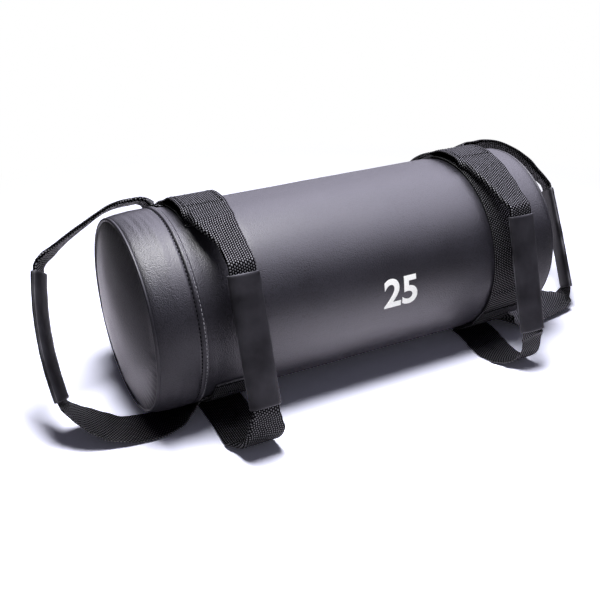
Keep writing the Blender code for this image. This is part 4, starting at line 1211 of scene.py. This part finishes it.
# Studio: a pale floor, one soft lamp overhead, a low fill, and a sky that shines in the bag from above
studio = {"floor": "#A9A8AD", "floorReach": 6.0, "shown": 1.85, "shownTint": "#EBECFF", "mirrorTint": "#F4EEFF",
          "floorSteps": {"front": ("X", -0.24, 0.02, 0.735, 2.45), "back": ("X", -0.37, -0.25, 0.324, 2.7),
                         "behind": ("Y", -0.10, 0.08, 0.0, 1.0), "beside": ("X", 0.14, 0.36, 1.0, 0.35)},
          "mirrorFar": 0.15, "whiteFrom": 0.46, "whiteTo": 0.85, "sky": "#E6E2F7", "skyTop": (-0.1, -0.5, 0.85),
          "glossTop": (0.22, 0.06, 0.97),
          "skySteps": {"sky": (0.2, 0.95, 0.003, 0.065), "gloss": (0.50, 0.95, 0.03, 7.2),
                       "back": (0.1, 0.8, 0.0, 1.9), "aside": (-0.16, 0.30, 0.0, 1.0)}, "aim": (0, 0, 0.08),
          "keyPlace": (-0.12, -0.045, 1.30), "keySize": (0.50, 0.42), "keyPower": 20.0,
          "fillPlace": (-0.35, -1.8, 0.035), "fillSize": (1.8, 0.06), "fillPower": 21.0}


# One for a ray that a glossy surface seen by the camera sends out, or else zero
def mirrorRay(tree, path):
    first = addNode(tree, "ShaderNodeMath", {0: path.outputs["Diffuse Depth"], 1: 0.5}, operation="LESS_THAN")
    return addNode(tree, "ShaderNodeMath", {0: path.outputs["Is Glossy Ray"], 1: first}, operation="MULTIPLY")


# The floor is white to the camera, with its shadow. In the bag's shine it is brighter, less so to the
# left and to the far right.
def makeFloor():
    mesh = bpy.data.meshes.new("floor")
    reach = studio["floorReach"]
    mesh.from_pydata([(-reach, -reach, 0), (reach, -reach, 0), (reach, reach, 0), (-reach, reach, 0)], [],
                     [(0, 1, 2, 3)])
    floor = addObject("floor", mesh)
    material, tree, shader = newMaterial("paleStudioFloor", Roughness=0.9)
    setInputs(tree, shader, {"Base Color": hexColour(studio["floor"]), "Specular IOR Level": 0.1})
    path = addNode(tree, "ShaderNodeLightPath")
    mirror = mirrorRay(tree, path)
    place = addNode(tree, "ShaderNodeTexCoord").outputs["Object"]
    split = addNode(tree, "ShaderNodeSeparateXYZ", {"Vector": place})
    soft = {}
    for name, (axis, start, end, low, high) in studio["floorSteps"].items():
        soft[name] = addNode(tree, "ShaderNodeMapRange", {"Value": split.outputs[axis], "From Min": start,
                                                          "From Max": end, "To Min": low, "To Max": high},
                             interpolation_type="SMOOTHSTEP")
    bright = addNode(tree, "ShaderNodeMix", {"Factor": soft["behind"], 2: soft["front"], 3: soft["back"]})
    fading = addNode(tree, "ShaderNodeMath", {0: bright, 1: soft["beside"]}, operation="MULTIPLY")
    tinted = addNode(tree, "ShaderNodeVectorMath", {0: hexColour(studio["mirrorTint"])[:3], "Scale": fading},
                     operation="SCALE")
    seenTint = [channel * studio["shown"] for channel in hexColour(studio["shownTint"])[:3]]
    level = addNode(tree, "ShaderNodeMix", {"Factor": mirror, 6: (*seenTint, 1.0), 7: tinted}, data_type="RGBA")
    shown = addNode(tree, "ShaderNodeBsdfDiffuse", {"Color": level})
    direct = addNode(tree, "ShaderNodeMath", {0: path.outputs["Is Camera Ray"], 1: mirror}, operation="MAXIMUM")
    distance = addNode(tree, "ShaderNodeVectorMath", {0: place}, operation="LENGTH")
    far = addNode(tree, "ShaderNodeMapRange", {"Value": distance, "From Min": studio["whiteFrom"],
                                               "From Max": studio["whiteTo"]}, interpolation_type="SMOOTHSTEP")
    farSeen = addNode(tree, "ShaderNodeMath", {0: far, 1: direct}, operation="MULTIPLY")
    whiteLevel = addNode(tree, "ShaderNodeMix", {"Factor": mirror, 2: 1.0, 3: studio["mirrorFar"]})
    white = addNode(tree, "ShaderNodeEmission", {"Strength": whiteLevel})
    near = addNode(tree, "ShaderNodeMixShader", {"Fac": direct, 1: shader, 2: shown})
    seen = addNode(tree, "ShaderNodeMixShader", {"Fac": farSeen, 1: near, 2: white})
    setInputs(tree, tree.nodes["Material Output"], {"Surface": seen})
    mesh.materials.append(material)


def makeSky():
    world = bpy.data.worlds.new("studio")
    bpy.context.scene.world = world
    world.use_nodes = True
    tree = world.node_tree
    light = tree.nodes["Background"]
    path = addNode(tree, "ShaderNodeLightPath")
    direction = addNode(tree, "ShaderNodeTexCoord").outputs["Generated"]
    towards = addNode(tree, "ShaderNodeSeparateXYZ", {"Vector": direction})
    values = {"back": towards.outputs["Y"], "aside": towards.outputs["X"]}
    for name in ("sky", "gloss"):
        top = tuple(Vector(studio[name + "Top"]).normalized())
        values[name] = addNode(tree, "ShaderNodeVectorMath", {0: direction, 1: top}, operation="DOT_PRODUCT")
    soft = {}
    for name, (start, end, low, high) in studio["skySteps"].items():
        soft[name] = addNode(tree, "ShaderNodeMapRange", {"Value": values[name], "From Min": start, "From Max": end,
                                                          "To Min": low, "To Max": high},
                             interpolation_type="SMOOTHSTEP")
    both = addNode(tree, "ShaderNodeMath", {0: soft["gloss"], 1: soft["back"]}, operation="ADD")
    mirrored = addNode(tree, "ShaderNodeMath", {0: both, 1: soft["aside"]}, operation="MULTIPLY")
    lit = addNode(tree, "ShaderNodeMix", {"Factor": mirrorRay(tree, path), 2: soft["sky"], 3: mirrored})
    setInputs(tree, light, {"Color": hexColour(studio["sky"]), "Strength": lit})
    white = addNode(tree, "ShaderNodeBackground", {"Color": (1.0, 1.0, 1.0, 1.0), "Strength": 1.0})
    seen = addNode(tree, "ShaderNodeMixShader", {"Fac": path.outputs["Is Camera Ray"], 1: light, 2: white})
    setInputs(tree, tree.nodes["World Output"], {"Surface": seen})


def makeLamp(name):
    data = bpy.data.lights.new(name + "Lamp", "AREA")
    data.shape = "RECTANGLE"
    data.size, data.size_y = studio[name + "Size"]
    data.energy = studio[name + "Power"]
    lamp = addObject(name + "Lamp", data)
    lamp.location = studio[name + "Place"]
    aim = Vector(studio["aim"]) - lamp.location
    lamp.rotation_euler = aim.to_track_quat("-Z", "Y").to_euler()
    lamp.visible_glossy = name == "key"


def makeStudio():
    makeFloor()
    makeSky()
    makeLamp("key")
    makeLamp("fill")
    bpy.context.scene.view_settings.view_transform = "Standard"


makeStudio()
print("studio set")
